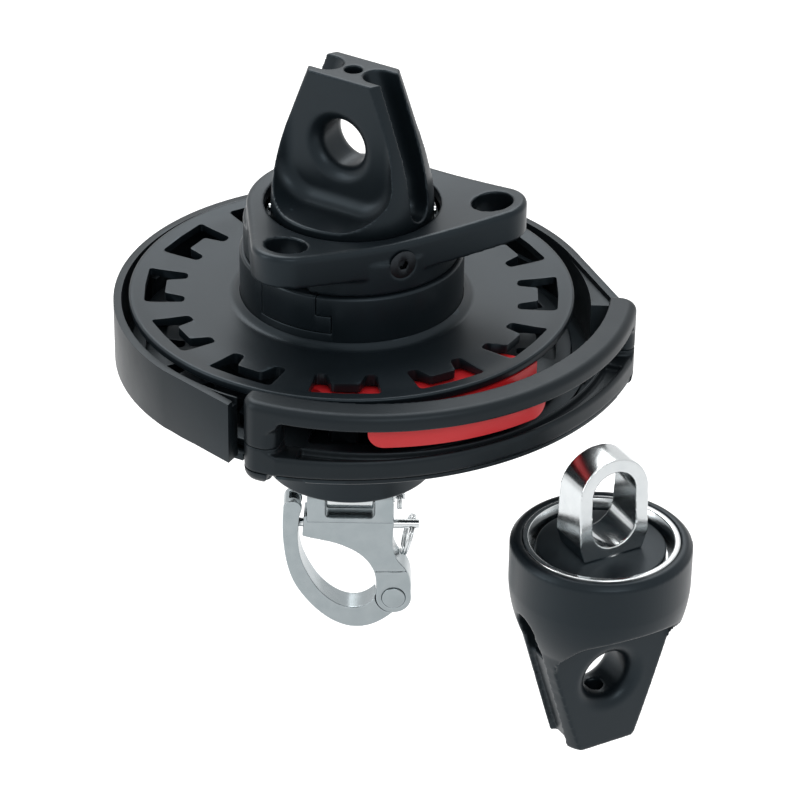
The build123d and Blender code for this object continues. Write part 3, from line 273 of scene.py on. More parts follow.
def wear(obj, body, node, finish, angle=SMOOTH):
    """Hands a finished piece over: shading, material, the CAD node it stands for and the body it rides on."""
    shade(obj, angle)
    obj.data.materials.clear()
    obj.data.materials.append(finish)
    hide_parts(node)
    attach(obj, body)
    return obj


# Materials

def add(tree, kind, links=None, **settings):
    """Adds a node, sets its properties and sockets by name, and links its inputs."""
    node = tree.nodes.new(kind)
    for key, value in settings.items():
        if hasattr(node, key):
            setattr(node, key, value)
        else:
            node.inputs[key].default_value = value
    for key, source in (links or {}).items():
        tree.links.new(source, node.inputs[key])
    return node


def new_material(name):
    """Empty node material: its tree, its principled shader and its object coordinates."""
    material = bpy.data.materials.new(name)
    material.use_nodes = True
    tree = material.node_tree
    shader = next(n for n in tree.nodes if n.type == "BSDF_PRINCIPLED")
    where = add(tree, "ShaderNodeTexCoord").outputs["Object"]
    return material, tree, shader, where


def grained(name, dark, light, roughness, spread, grain_mm, bump, edge_highlight_hex=None, ior=1.5, sheen="#ffffff"):
    """Satin surface: colour and gloss drift slowly over it, a fine grain roughens it, and its edges can carry
    a painted highlight.
    """
    material, tree, shader, where = new_material(name)
    # drift of a hand's breadth in colour, and of a finger's breadth in gloss
    slow = add(tree, "ShaderNodeTexNoise", {"Vector": where}, Scale=1 / (38 * MM), Detail=3.0, Roughness=0.55)
    tint = add(tree, "ShaderNodeMix", {"Factor": slow.outputs["Fac"]}, data_type="RGBA")
    tint.inputs[6].default_value = linear(dark)
    tint.inputs[7].default_value = linear(light)
    colour = tint.outputs[2]
    mottle = add(tree, "ShaderNodeTexNoise", {"Vector": where}, Scale=1 / (9 * MM), Detail=4.0, Roughness=0.6)
    gloss = add(tree, "ShaderNodeMapRange", {"Value": mottle.outputs["Fac"]})
    gloss.inputs["To Min"].default_value = roughness - spread
    gloss.inputs["To Max"].default_value = roughness + spread
    tree.links.new(gloss.outputs["Result"], shader.inputs["Roughness"])
    if edge_highlight_hex:
        # painted highlight: convex edges made paler, broken up by the mottle
        edge = add(tree, "ShaderNodeNewGeometry")
        edge_lit_mask = add(tree, "ShaderNodeMapRange", {"Value": edge.outputs["Pointiness"]})
        edge_lit_mask.inputs["From Min"].default_value = 0.53
        edge_lit_mask.inputs["From Max"].default_value = 0.64
        highlight_share = add(tree, "ShaderNodeMath", {0: edge_lit_mask.outputs["Result"], 1: mottle.outputs["Fac"]},
                     operation="MULTIPLY")
        highlighted_colour = add(tree, "ShaderNodeMix", {"Factor": highlight_share.outputs[0], 6: colour}, data_type="RGBA")
        highlighted_colour.inputs[7].default_value = linear(edge_highlight_hex)
        colour = highlighted_colour.outputs[2]
    tree.links.new(colour, shader.inputs["Base Color"])
    fine = add(tree, "ShaderNodeTexNoise", {"Vector": where}, Scale=1 / (grain_mm * MM), Detail=2.0)
    relief = add(tree, "ShaderNodeBump", {"Height": fine.outputs["Fac"]}, Strength=bump, Distance=0.05 * MM)
    tree.links.new(relief.outputs["Normal"], shader.inputs["Normal"])
    shader.inputs["IOR"].default_value = ior
    shader.inputs["Specular Tint"].default_value = linear(sheen)
    return material


def hard_anodised():
    """Hard-anodised aluminium: the oxide is black and satin, its edges greyed by a painted highlight where
    light grazes it.
    """
    # 39444b is the painted highlight on the edges
    return grained("hard_anodised_black", "#0c1114", "#131a1f", 0.36, 0.04, 0.5, 0.10, "#39444b", 1.38,
                   "#d3e7f4")


def moulded_black():
    """Glass-filled nylon, moulded: the same black, a touch duller, with a fine spark-eroded grain."""
    # 303a40 is a painted highlight on its edges
    return grained("moulded_nylon_black", "#0c1012", "#12171b", 0.42, 0.05, 0.7, 0.22, "#303a40", 1.36,
                   "#d8e9f4")


def moulded_red():
    """Acetal, moulded and pigmented through in signal red."""
    return grained("moulded_acetal_red", "#d01f26", "#dc2a30", 0.38, 0.04, 0.6, 0.15, None, 1.48)


def polished_steel(name, low, high, roughness):
    """Cast stainless steel, tumbled and polished: a clear mirror with the faint orange peel of a casting."""
    material, tree, shader, where = new_material(name)
    shader.inputs["Metallic"].default_value = 1.0
    slow = add(tree, "ShaderNodeTexNoise", {"Vector": where}, Scale=1 / (6 * MM), Detail=2.0)
    tint = add(tree, "ShaderNodeMix", {"Factor": slow.outputs["Fac"]}, data_type="RGBA")
    tint.inputs[6].default_value = linear(low)
    tint.inputs[7].default_value = linear(high)
    tree.links.new(tint.outputs[2], shader.inputs["Base Color"])
    haze = add(tree, "ShaderNodeTexNoise", {"Vector": where}, Scale=1 / (2.2 * MM), Detail=5.0)
    gloss = add(tree, "ShaderNodeMapRange", {"Value": haze.outputs["Fac"]})
    gloss.inputs["To Min"].default_value = roughness - 0.04
    gloss.inputs["To Max"].default_value = roughness + 0.04
    tree.links.new(gloss.outputs["Result"], shader.inputs["Roughness"])
    peel = add(tree, "ShaderNodeBump", {"Height": slow.outputs["Fac"]}, Strength=0.12, Distance=0.2 * MM)
    tree.links.new(peel.outputs["Normal"], shader.inputs["Normal"])
    return material


def turned_steel(name, low, high, roughness):
    """Ground or blackened steel, its lay running round the part in fine rings."""
    material, tree, shader, where = new_material(name)
    shader.inputs["Metallic"].default_value = 1.0
    lay = add(tree, "ShaderNodeTexNoise", {"Vector": where}, Scale=1 / (0.8 * MM), Detail=3.0)
    tint = add(tree, "ShaderNodeMix", {"Factor": lay.outputs["Fac"]}, data_type="RGBA")
    tint.inputs[6].default_value = linear(low)
    tint.inputs[7].default_value = linear(high)
    tree.links.new(tint.outputs[2], shader.inputs["Base Color"])
    gloss = add(tree, "ShaderNodeMapRange", {"Value": lay.outputs["Fac"]})
    gloss.inputs["To Min"].default_value = roughness - 0.05
    gloss.inputs["To Max"].default_value = roughness + 0.05
    tree.links.new(gloss.outputs["Result"], shader.inputs["Roughness"])
    relief = add(tree, "ShaderNodeBump", {"Height": lay.outputs["Fac"]}, Strength=0.1, Distance=0.03 * MM)
    tree.links.new(relief.outputs["Normal"], shader.inputs["Normal"])
    return material


FINISHES = {}


def make_finishes():
    """Fills the table of finishes by the record's slot names."""
    FINISHES["black_anodised"] = hard_anodised()
    FINISHES["black_composite"] = moulded_black()
    FINISHES["red_composite"] = moulded_red()
    FINISHES["polished_stainless"] = polished_steel("stainless_polished", "#c3c8ca", "#d5d8d9", 0.16)
    # painted shade: a darker copy of the polished stainless for the snap shackle, also a little rougher
    FINISHES["satin_stainless"] = polished_steel("stainless_shaded_copy", "#8f989b", "#a0a7aa", 0.24)
    FINISHES["bearing_steel"] = turned_steel("bearing_steel_ground", "#a5a8aa", "#c3c6c8", 0.2)
    FINISHES["bearing_plastic"] = grained("bearing_acetal", "#c9c4b4", "#d6d2c5", 0.4, 0.04, 0.5, 0.1)
    FINISHES["screw_steel"] = turned_steel("screw_steel_blackened", "#2b2e31", "#3a3e42", 0.34)


def finish_of(node, slot):
    """Finish of a node: its slot's, except on the snap shackle, which gets a darker and rougher copy of the
    stainless, its darkness painted shade.
    """
    return FINISHES["satin_stainless" if node in ("shackle_body", "shackle_gate", "gate_rivet") else slot]


def carried_over():
    """Gives every CAD node that still shows the finish of its own material slot."""
    for part in frame["record"]["subparts"]:
        obj = frame["nodes"][part["node"]]
        obj.data.materials.clear()
        obj.data.materials.append(FINISHES[part["material_slot"]])


# Repeats

ROW_INPUTS = (
    ("Piece", "NodeSocketObject"),
    ("Count", "NodeSocketInt"),
    ("Pitch Radius", "NodeSocketFloat"),
    ("First Angle", "NodeSocketFloat"),
    ("Step Angle", "NodeSocketFloat"),
    ("Centre", "NodeSocketVector"),
    ("Tilt", "NodeSocketFloat"),
    ("Finish", "NodeSocketMaterial"),
)


def row_group():
    """Geometry Nodes group that sets copies of a piece along an arc: balls, screws, windows and seats."""
    if "row_of_pieces" in bpy.data.node_groups:
        return bpy.data.node_groups["row_of_pieces"]
    tree = bpy.data.node_groups.new("row_of_pieces", "GeometryNodeTree")
    sockets = {}
    for name, kind in ROW_INPUTS:
        sockets[name] = tree.interface.new_socket(name, in_out="INPUT", socket_type=kind).identifier
    tree.interface.new_socket("Row", in_out="OUTPUT", socket_type="NodeSocketGeometry")
    given = tree.nodes.new("NodeGroupInput").outputs
    line = add(tree, "GeometryNodeMeshLine", {"Count": given["Count"]})
    index = add(tree, "GeometryNodeInputIndex").outputs[0]
    turn = add(tree, "ShaderNodeMath", {0: index, 1: given["Step Angle"], 2: given["First Angle"]},
               operation="MULTIPLY_ADD").outputs[0]
    along = add(tree, "ShaderNodeMath", {0: turn}, operation="COSINE").outputs[0]
    aside = add(tree, "ShaderNodeMath", {0: turn}, operation="SINE").outputs[0]
    unit = add(tree, "ShaderNodeCombineXYZ", {"X": along, "Y": aside}).outputs[0]
    spot = add(tree, "ShaderNodeVectorMath", {0: unit, 1: given["Pitch Radius"], 2: given["Centre"]},
               operation="MULTIPLY_ADD").outputs[0]
    points = add(tree, "GeometryNodeSetPosition", {"Geometry": line.outputs[0], "Position": spot})
    euler = add(tree, "ShaderNodeCombineXYZ", {"Y": given["Tilt"], "Z": turn}).outputs[0]
    facing = add(tree, "FunctionNodeEulerToRotation", {0: euler}).outputs[0]
    piece = add(tree, "GeometryNodeObjectInfo", {"Object": given["Piece"]})
    copies = add(tree, "GeometryNodeInstanceOnPoints",
                 {"Points": points.outputs[0], "Instance": piece.outputs["Geometry"], "Rotation": facing})
    real = add(tree, "GeometryNodeRealizeInstances", {0: copies.outputs[0]})
    dressed = add(tree, "GeometryNodeSetMaterial", {"Geometry": real.outputs[0], "Material": given["Finish"]})
    tree.links.new(dressed.outputs[0], tree.nodes.new("NodeGroupOutput").inputs[0])
    tree["sockets"] = sockets
    return tree


def row(name, piece, count, pitch_r, centre, finish, first=0.0, step=None, tilt=0.0):
    """Row of copies of a piece made by the node group, as one plain mesh; the piece itself is used up."""
    tree = row_group()
    obj = bpy.data.objects.new(name, bpy.data.meshes.new(name))
    bpy.context.scene.collection.objects.link(obj)
    maker = obj.modifiers.new("row", "NODES")
    maker.node_group = tree
    values = {
        "Piece": piece,
        "Count": count,
        "Pitch Radius": pitch_r * MM,
        "First Angle": math.radians(first),
        "Step Angle": math.radians(360 / count if step is None else step),
        "Centre": tuple(c * MM for c in centre),
        "Tilt": math.radians(tilt),
        "Finish": finish,
    }
    for key, value in values.items():
        maker[tree["sockets"][key]] = value
    applied(obj)
    bpy.data.objects.remove(piece)
    return obj


def ball(radius):
    """Bearing ball at the origin."""
    half = arc(radius, -90, 90, 16)
    half[0] = (0.0, -radius)
    half[-1] = (0.0, radius)
    return lathe("ball", half, 32, closed=False)


def cap_screw(head_r, head_t, shank_r, length):
    """Cap screw at the origin, its head up and its shank down, with a hexagon socket."""
    profile = [(0, head_t), (head_r - 0.5, head_t), (head_r - 0.15, head_t - 0.15), (head_r, head_t - 0.5),
               (head_r, 0), (shank_r, 0), (shank_r, 0.4 - length), (shank_r - 0.4, -length), (0, -length)]
    screw = lathe("screw", profile, 48)
    hexagon = arc(head_r * 0.5, 30, 330, 5)
    return combine(screw, [prism("socket", hexagon, head_t * 0.35, head_t + 1)])


# Drum

class FurlerDrumSettings(bpy.types.PropertyGroup):
    """Sheaves and the turned parts of the drum."""

    rim_radius: bpy.props.FloatProperty(name="Rim radius", description="Outer radius of both sheaves",
                                        default=93.5 * MM, unit="LENGTH")
    windows: bpy.props.IntProperty(name="Windows", description="Toothed windows in each sheave",
                                   default=12, min=3)
    edge: bpy.props.FloatProperty(name="Window edge", description="Rounding of the windows' edges",
                                  default=0.6 * MM, unit="LENGTH")


# Each sheave: the way it faces, the height and thickness of its rim, and the height of its dished face
SHEAVES = (
    ("upper_sheave", 1, 16.0, 3.8, 13.0),
    ("lower_sheave", -1, 12.4, 3.2, 11.4),
)
RING_BORE_R = 36.05
RING_SEAT_R = 47.2
FIRST_WINDOW = -90.7
SHEAVE_SCREW_PITCH = 52


def window_outline():
    """One window in plan, run anticlockwise: two inward fingers either side of a blunt tooth."""
    corners = [(86.8, 0.0), (86.2, 14.8), (69.6, 12.5), (69.6, 7.8), (78.2, 5.6),
               (78.2, -5.6), (69.6, -7.8), (69.6, -12.5), (86.2, -14.8)]
    return rounded(corners, [0, 1.7, 2.1, 2.1, 1.3, 1.3, 2.1, 2.1, 1.7])


def sheave_profile(side, rim_r, rim, thickness, dish):
    """Half section of a sheave, its rim and its step at the ring rounded."""
    top = smooth_line([(rim_r - 1.1, rim), (84, dish + 1.75), (72, dish + 1.1), (60, dish + 0.35),
                       (51, dish + 0.1)], 40)
    rim_round = arc(1.1, 0, 90, 6, rim_r - 1.1, rim - 1.1)
    low_round = arc(0.9, -90, 0, 5, rim_r - 0.9, rim - thickness + 0.9)
    under = smooth_line([(61.0, 4.2), (65.5, dish - 5.4), (71, dish - 3.9), (80, rim - thickness - 1.2),
                         (rim_r - 2.0, rim - thickness - 0.1)], 20)
    points = [(RING_BORE_R, dish), (RING_BORE_R, 4.2)] + under + low_round + rim_round + top[1:]
    points += [(49.3, dish + 0.7), (48.0, dish + 1.9), (RING_SEAT_R, dish + 2.6), (RING_SEAT_R, dish)]
    return [(r, side * z) for r, z in points]


class FURLER_OT_sheaves(bpy.types.Operator):
    """Builds the two windowed discs that grip the furling line"""
    bl_idname = "furler.sheaves"
    bl_label = "Sheaves"

    def execute(self, context):
        settings = context.scene.furler_drum
        black = FINISHES["black_anodised"]
        outline = window_outline()
        for name, side, rim, thickness, dish in SHEAVES:
            section = sheave_profile(side, settings.rim_radius / MM, rim, thickness, dish)
            disc = lathe(name + "_disc", section, 288)
            cutter = stack("window", [[(x, y, h) for x, y in outline] for h in (0, side * 24)])
            combine(disc, [row("windows", cutter, settings.windows, 0, (0, 0, 0), black, first=FIRST_WINDOW)])
            if side < 0:
                # stepped holes for the screws that clamp the two discs, their heads sunk from below
                seat = lathe("seat", [(0, 0), (2.05, 0), (2.05, -9.5), (4.1, -9.5), (4.1, -16), (0, -16)], 48)
                count = context.scene.furler_hardware.screws
                combine(disc, [row("seats", seat, count, SHEAVE_SCREW_PITCH, (0, 0, 0), black)])
            soften(disc, settings.edge / MM, 3, 40, 0.01)
            wear(disc, "drum", name, black, math.radians(40))
        return {"FINISHED"}


HUB_BORE_R = 8.05
HEAD_FRAME = Matrix.Translation((104.0, -89.4, -49.4))


def base_hub_section():
    """Half section of the turned hub under the drum, open from above for the bearing."""
    foot = [(HUB_BORE_R, -64), (31, -64), (30.9, -67.8)] + arc(0.6, 180, 270, 4, 31.6, -67.8)
    barrel = arc(1.2, -90, 0, 6, 35.8, -67.2) + [(37, -36.6), (37.6, -35.4), (45.2, -30.6)]
    shoulder = arc(0.8, -60, 0, 4, 45.2, -29.6) + [(46, -24.5)]
    inside = [(30, -24.5), (30, -54), (26, -58), (20, -58), (20, -24), (HUB_BORE_R, -24)]
    return foot + barrel + shoulder + inside


class FURLER_OT_turned_parts(bpy.types.Operator):
    """Turns the base hub under the drum, and the head swivel's silver ring and cover"""
    bl_idname = "furler.turned_parts"
    bl_label = "Turned parts"

    def execute(self, context):
        black = FINISHES["black_anodised"]
        wear(lathe("base_hub_turned", base_hub_section(), 192), "base", "base_hub", black)
        silver = arc(0.35, 180, 250, 4, 27.75, -6.6) + [(32.3, -7.0)] + arc(0.5, 0, 90, 5, 31.8, -0.5)
        silver += arc(0.5, 90, 160, 4, 30.3, -0.5)
        ring = place(lathe("head_ring_turned", silver, 160), HEAD_FRAME)
        wear(ring, "head", "head_retaining_ring", FINISHES["polished_stainless"])
        lid = [(10.05, -6.2), (26.6, -6.2)] + arc(0.6, 0, 90, 5, 26.0, -4.1) + [(10.05, -3.5)]
        cover = place(lathe("head_cover_turned", lid, 144), HEAD_FRAME)
        wear(cover, "head_turning", "head_cover", black)
        return {"FINISHED"}


# Fairlead: both rails and the carrier's feet about the fairlead's own centre

FAIR_CENTRE = (7.5, 5.0)
FAIR_ENDS = (-117.0, -5.0)
FAIR_CORNERS = (7.5, 7.5)
FAIR_INNER_R = 101
FAIR_R = 113.0
FAIR_SEAM = -3.7
RAIL_TOP = 16.5
SLOT_ENDS = (-108.5, -11.5)
SLOT_MEAN_R = 110
SLOT_TOP = 4.2
SLOT_LOW = -6.2
DRUM_ROOM_R = 94.7
PAN_LOW = -16.42
BAND_FRAME = Matrix.Translation((2.0, 0.0, 0.0))


def sector(inner, outer, start, end, corners, inner_corner=0.8, count=90):
    """Outline in plan of a piece of ring about the fairlead's centre; corners are the two outer radii."""
    x, y = FAIR_CENTRE
    first, last = corners
    d = math.degrees(math.asin(first / (outer - first)))
    f = math.degrees(math.asin(last / (outer - last)))
    e = math.degrees(math.asin(inner_corner / (inner + inner_corner)))
    points = arc(first, start - 90, start + d, 10, *polar(outer - first, start + d, x, y))
    points += arc(outer, start + d, end - f, count, x, y)[1:-1]
    points += arc(last, end - f, end + 90, 10, *polar(outer - last, end - f, x, y))
    points += arc(inner_corner, end + 90, end - e + 180, 4, *polar(inner + inner_corner, end - e, x, y))
    points += arc(inner, end - e, start + e, count, x, y)[1:-1]
    points += arc(inner_corner, start + e + 180, start + 270, 4,
                  *polar(inner + inner_corner, start + e, x, y))
    return points


def block(name, inner, start, end, corners, levels):
    """Piece of ring with a level for each height, drawn in by an inset where an edge is rounded."""
    rings = []
    for z, inset in levels:
        turn = math.degrees(inset / FAIR_R)
        radii = [max(c - inset, 0.4) for c in corners]
        plan = sector(inner + min(inset, 0.6), FAIR_R - inset, start + turn, end - turn, radii)
        rings.append([(x, y, z) for x, y in plan])
    return stack(name, rings)


def rounded_edge(z, radius, side):
    """Levels of a rounded edge that ends at a height: side is 1 for a top edge and -1 for a bottom one."""
    return [(z - side * radius * (1 - math.sin(math.radians(a))), radius * (1 - math.cos(math.radians(a))))
            for a in range(0, 91, 15)]


def swept(name, sections):
    """Solid through sections of (radius, height) points, each at an angle about the fairlead's centre."""
    rings = []
    for angle, points in sections:
        rings.append([(*polar(r, angle, *FAIR_CENTRE), z) for r, z in points])
    return stack(name, rings)


def slot_cutter():
    """Opening between the rails: round at its upper corners and flared outwards at both posts."""
    flare = 6.0
    corner = 3.0
    beyond = FAIR_R + 17
    half = []
    for i in range(9):
        past = flare * (1 - i / 8)
        inner = FAIR_R - flare + math.sqrt(flare ** 2 - (flare - past) ** 2)
        share = past / flare
        half.append((-past, inner, SLOT_TOP - 2.5 * share ** 2, 2.6 * (1 - share), SLOT_LOW + 1.4 * share))
    for i in range(7):
        inside = corner * i / 6
        rise = corner * math.sqrt(1 - ((corner - inside) / corner) ** 2)
        half.append((inside, 80.0, SLOT_TOP + rise, 2.6, SLOT_LOW))
    first, last = SLOT_ENDS
    ends = [(first + math.degrees(h[0] / SLOT_MEAN_R), h) for h in half]
    middle = [(first + 2 + (last - first - 4) * i / 90, half[-1]) for i in range(91)]
    tail = [(last - math.degrees(h[0] / SLOT_MEAN_R), h) for h in reversed(half)]
    sections = []
    for angle, (_, inner, top, slope, low) in ends + middle + tail:
        out = max(FAIR_R, inner + 0.02)
        fold = max(106.5, inner + 0.01)
        sections.append((angle, [(inner, low), (beyond, low), (beyond, top + slope), (out, top + slope),
                                 (fold, top), (inner, top)]))
    return swept("slot", sections)


def rail_cutters():
    """Front of the lower rail, a flatter arc than the upper one, and the valley along its top."""
    beyond = FAIR_R + 17
    front = []
    valley = []
    for i in range(97):
        u = -1 + 2 * i / 96
        angle = slot_angle(u)
        r = rail_front(u)
        front.append((angle, [(r - 0.8, -20), (beyond, -20), (beyond, -4), (r - 1.8, -4), (r - 1.8, -6.0),
                              (r - 0.9, -6.4), (r - 0.3, -7.1), (r, -8.0), (r, -14.3), (r - 0.8, -14.7)]))
        if abs(u) < 0.93:
            valley.append((angle, [(102.2, -3), (r - 1.9, -3), (r - 1.9, -6.3), (r - 3.4, -9.2),
                                   (103, -9.2), (102.2, -6.6)]))
    return [swept("front", front), swept("valley", valley)]


def rail_front(u):
    """Radius of the lower rail's front face along the slot, from -1 at one end to 1 at the other."""
    return FAIR_R - 6 * (1 - u * u)


def slot_angle(u):
    """Angle about the fairlead's centre of a place along the slot, from -1 to 1."""
    return (SLOT_ENDS[0] + SLOT_ENDS[1]) / 2 + u * (SLOT_ENDS[1] - SLOT_ENDS[0]) / 2


def rail_plate():
    """Edge of the carrier's pan that runs out under the lower rail."""
    sections = []
    for i in range(73):
        u = -1 + 2 * i / 72
        r = rail_front(u) - 0.7
        sections.append((slot_angle(u), [(90, -17.1), (r - 0.4, -17.1), (r, -16.7), (r, -15.15),
                                         (90, -15.15)]))
    return swept("rail_plate", sections)


def gap_ring():
    """Rim of the carrier's pan that meets the band, so that no light comes up between them."""
    rim = [(96, -16.3), (99.3, -16.3), (99.3, -13.7), (96, -13.7)]
    return place(lathe("gap_ring", rim, 200, start=-14, sweep=250), BAND_FRAME)


def stripper_blade():
    """Red blade that reaches into the groove under the upper sheave, its nose drawn in to a point."""
    start = -102
    sweep = 68
    inner = 66.5
    rings = []
    for i in range(49):
        angle = start + sweep * i / 48
        share = min(1.0, max(0.0, (angle - start) / 13))
        outer = 73 + 19.5 * share * share * (3 - 2 * share)
        low = 4.0 - 3.0 * min(1.0, max(0.0, (angle - start - 10) / 8))
        section = []
        for t in (0, 0.25, 0.5, 0.75, 1):
            r = inner + (outer - inner) * t
            section.append((*polar(r, angle), 7.2 + 3.9 * ((r - inner) / 26) ** 0.6))
        section += [(*polar(outer, angle), low), (*polar(inner, angle), low)]
        rings.append(section)
    return stack("blade", rings)


class FURLER_OT_fairlead(bpy.types.Operator):
    """Builds the fairlead's two rails with their flared slot, the carrier under them and the red stripper"""
    bl_idname = "furler.fairlead"
    bl_label = "Fairlead"

    def execute(self, context):
        finish = FINISHES["black_composite"]
        upper = block("fairlead_upper_rail", FAIR_INNER_R, *FAIR_ENDS, FAIR_CORNERS,
                      [(FAIR_SEAM, 0.3), (FAIR_SEAM + 0.3, 0)] + rounded_edge(RAIL_TOP, 3.2, 1))
        lower = block("fairlead_lower_rail", FAIR_INNER_R, *FAIR_ENDS, FAIR_CORNERS,
                      [(-15.1, 0.3), (-14.8, 0), (FAIR_SEAM - 0.3, 0), (FAIR_SEAM, 0.3)])
        for rail, node, cutters in ((upper, "fairlead_upper", [slot_cutter()]),
                                    (lower, "fairlead_lower", [slot_cutter()] + rail_cutters())):
            room = lathe("drum_room", [(0, -30), (DRUM_ROOM_R, -30), (DRUM_ROOM_R, 30), (0, 30)], 240)
            combine(rail, cutters + [room])
            wear(cast(rail, 0.5, 5), "base", node, finish, math.radians(50))

        carrier = joined_copy("carrier_plate", "carrier_footed")
        combine(carrier, [rail_plate(), gap_ring()], "UNION")
        for start, end, corners in ((-117.0, -110.4, (7.5, 0.6)), (-11.6, -5.0, (0.6, 7.5))):
            clear = prism("clear", sector(88, 125, start - 8, end + 8, (1, 1), count=8), -30, PAN_LOW)
            foot = block("foot", 96, start, end, corners, rounded_edge(-20.8, 5.0, -1)[::-1] + [(-15.3, 0)])
            combine(carrier, [clear])
            combine(carrier, [foot], "UNION")
        wear(soften(carrier, 0.4, 2, 35, 0.004), "base", "carrier_plate", finish)

        stripper = joined_copy("line_stripper", "line_stripper_bladed")
        groove = [(60, -6), (93.6, -6), (93.6, 12), (60, 12)]
        combine(stripper, [lathe("clear", groove, 90, start=-120, sweep=100)])
        combine(stripper, [stripper_blade()], "UNION")
        red = FINISHES["red_composite"]
        wear(soften(stripper, 0.5, 3, 30, 0.004), "base", "line_stripper", red)
        return {"FINISHED"}


# Castings and forgings: the CAD skin remeshed evenly and eased, so that every edge is soft

# Each casting: its body, the remeshing step, the rounds of easing and its material slot
CASTINGS = (
    ("cable_terminal", "drum", 0.57, 3, "black_anodised"),
    ("tack_plate", "tack_swivel", 0.55, 6, "black_anodised"),
    ("head_housing", "head", 0.68, 5, "black_anodised"),
    ("shackle_body", "shackle", 0.33, 6, "polished_stainless"),
    ("shackle_gate", "gate", 0.28, 10, "polished_stainless"),
    ("head_eye", "head_turning", 0.34, 10, "polished_stainless"),
)
# Each machined part: its body, the width of its edges' rounding and its material slot
EDGED = (
    ("retaining_ring", "drum", 0.35, "black_anodised"),
    ("retaining_key", "drum", 0.4, "black_anodised"),
    ("guard_band", "base", 0.7, "black_composite"),
    ("ball_plug_screw", "tack_swivel", 0.12, "screw_steel"),
    ("gate_rivet", "shackle", 0.4, "polished_stainless"),
    ("clevis_pin", "shackle", 0.3, "polished_stainless"),
    ("plunger_pin", "plunger", 0.2, "polished_stainless"),
    ("terminal_pin", "drum", 0.35, "polished_stainless"),
    ("center_stem", "base", 0.6, "polished_stainless"),
)


class FurlerEdgeSettings(bpy.types.PropertyGroup):
    """How finely castings are remeshed and how round machined edges are."""

    fineness: bpy.props.FloatProperty(name="Fineness",
                                      description="Scale of the remeshing step; smaller is finer",
                                      default=1.0, min=0.5, max=3.0)
    roundness: bpy.props.FloatProperty(name="Roundness", description="Scale of the machined edges' rounding",
                                       default=1.0, min=0.1, max=2.0)


class FURLER_OT_castings(bpy.types.Operator):
    """Softens the tower, the tack plate, the head's jaws, its eye and the snap shackle"""
    bl_idname = "furler.castings"
    bl_label = "Castings"

    def execute(self, context):
        scale = context.scene.furler_edges.fineness
        for node, body, voxel, rounds, slot in CASTINGS:
            piece = cast(joined_copy(node, node + "_cast"), voxel * scale, rounds)
            wear(piece, body, node, finish_of(node, slot), math.radians(50))
        return {"FINISHED"}


class FURLER_OT_machined(bpy.types.Operator):
    """Rounds the edges of the retaining ring, the band, the stem and the pins; adds the plunger's spring"""
    bl_idname = "furler.machined"
    bl_label = "Machined parts"

    def execute(self, context):
        scale = context.scene.furler_edges.roundness
        for node, body, width, slot in EDGED:
            piece = soften(joined_copy(node, node + "_edged"), width * scale, 3, 28, 0.002)
            wear(piece, body, node, finish_of(node, slot))
        steel = FINISHES["polished_stainless"]
        spring = joined_copy("plunger_spring", "plunger_spring_wire")
        wear(spring, "shackle", "plunger_spring", steel)
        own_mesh(spring)
        return {"FINISHED"}


# Hardware

class FurlerHardwareSettings(bpy.types.PropertyGroup):
    """Screws and bearing balls."""

    thrust_balls: bpy.props.IntProperty(name="Thrust balls", description="Balls that carry the drum",
                                        default=12, min=3)
    swivel_balls: bpy.props.IntProperty(name="Swivel balls", description="Balls in each swivel",
                                        default=14, min=3)
    screws: bpy.props.IntProperty(name="Ring screws", description="Screws in each full ring",
                                  default=6, min=3)


class FURLER_OT_hardware(bpy.types.Operator):
    """Sets the rows of bearing balls and screws"""
    bl_idname = "furler.hardware"
    bl_label = "Hardware"

    def execute(self, context):
        settings = context.scene.furler_hardware
        steel = FINISHES["bearing_steel"]
        thrust = settings.thrust_balls
        swivel = settings.swivel_balls
        # node, body, ball's radius, count, pitch radius, centre
        for node, body, radius, count, pitch, centre in (
            ("thrust_balls", "ball_set", 3.0, thrust, 19, (0, 0, 23.5)),
            ("lower_balls", "base", 2.5, thrust, 16, (0, 0, -19.5)),
            ("tack_balls", "tack_swivel", 2.2, swivel, 38, (0, 0, 47)),
            ("head_balls", "head_turning", 2.2, swivel, 23, (104, -89.4, -61.4)),
        ):
            balls = row(node + "_row", ball(radius), count, pitch, centre, steel)
            wear(balls, body, node, steel)
        dark = FINISHES["screw_steel"]
        full = settings.screws
        # node, body, screw's (head radius, head height, shank radius, length), count, pitch radius, centre,
        # first angle, step between screws, and tilt: 180 heads down, 90 heads outwards
        for node, body, size, count, pitch, centre, first, step, tilt in (
            ("carrier_screws", "base", (4, 2.2, 1.95, 8), full, 38, (0, 0, -20), 30, 60, 0),
            ("sheave_screws", "drum", (4, 2.2, 2, 18.5), full, SHEAVE_SCREW_PITCH, (0, 0, -9.5), 0, 60, 180),
            ("fairlead_screws", "base", (4, 2.2, 2, 23.6), 2, 105.5, (*FAIR_CENTRE, -18.6), -113, 104.7, 180),
            ("band_screws", "base", (3.8, 1.9, 2.1, 3.3), 3, 102, (2, 0, -9), 40, 55, 90),
        ):
            screws = row(node + "_row", cap_screw(*size), count, pitch, centre, dark, first, step, tilt)
            wear(screws, body, node, dark)
        return {"FINISHED"}


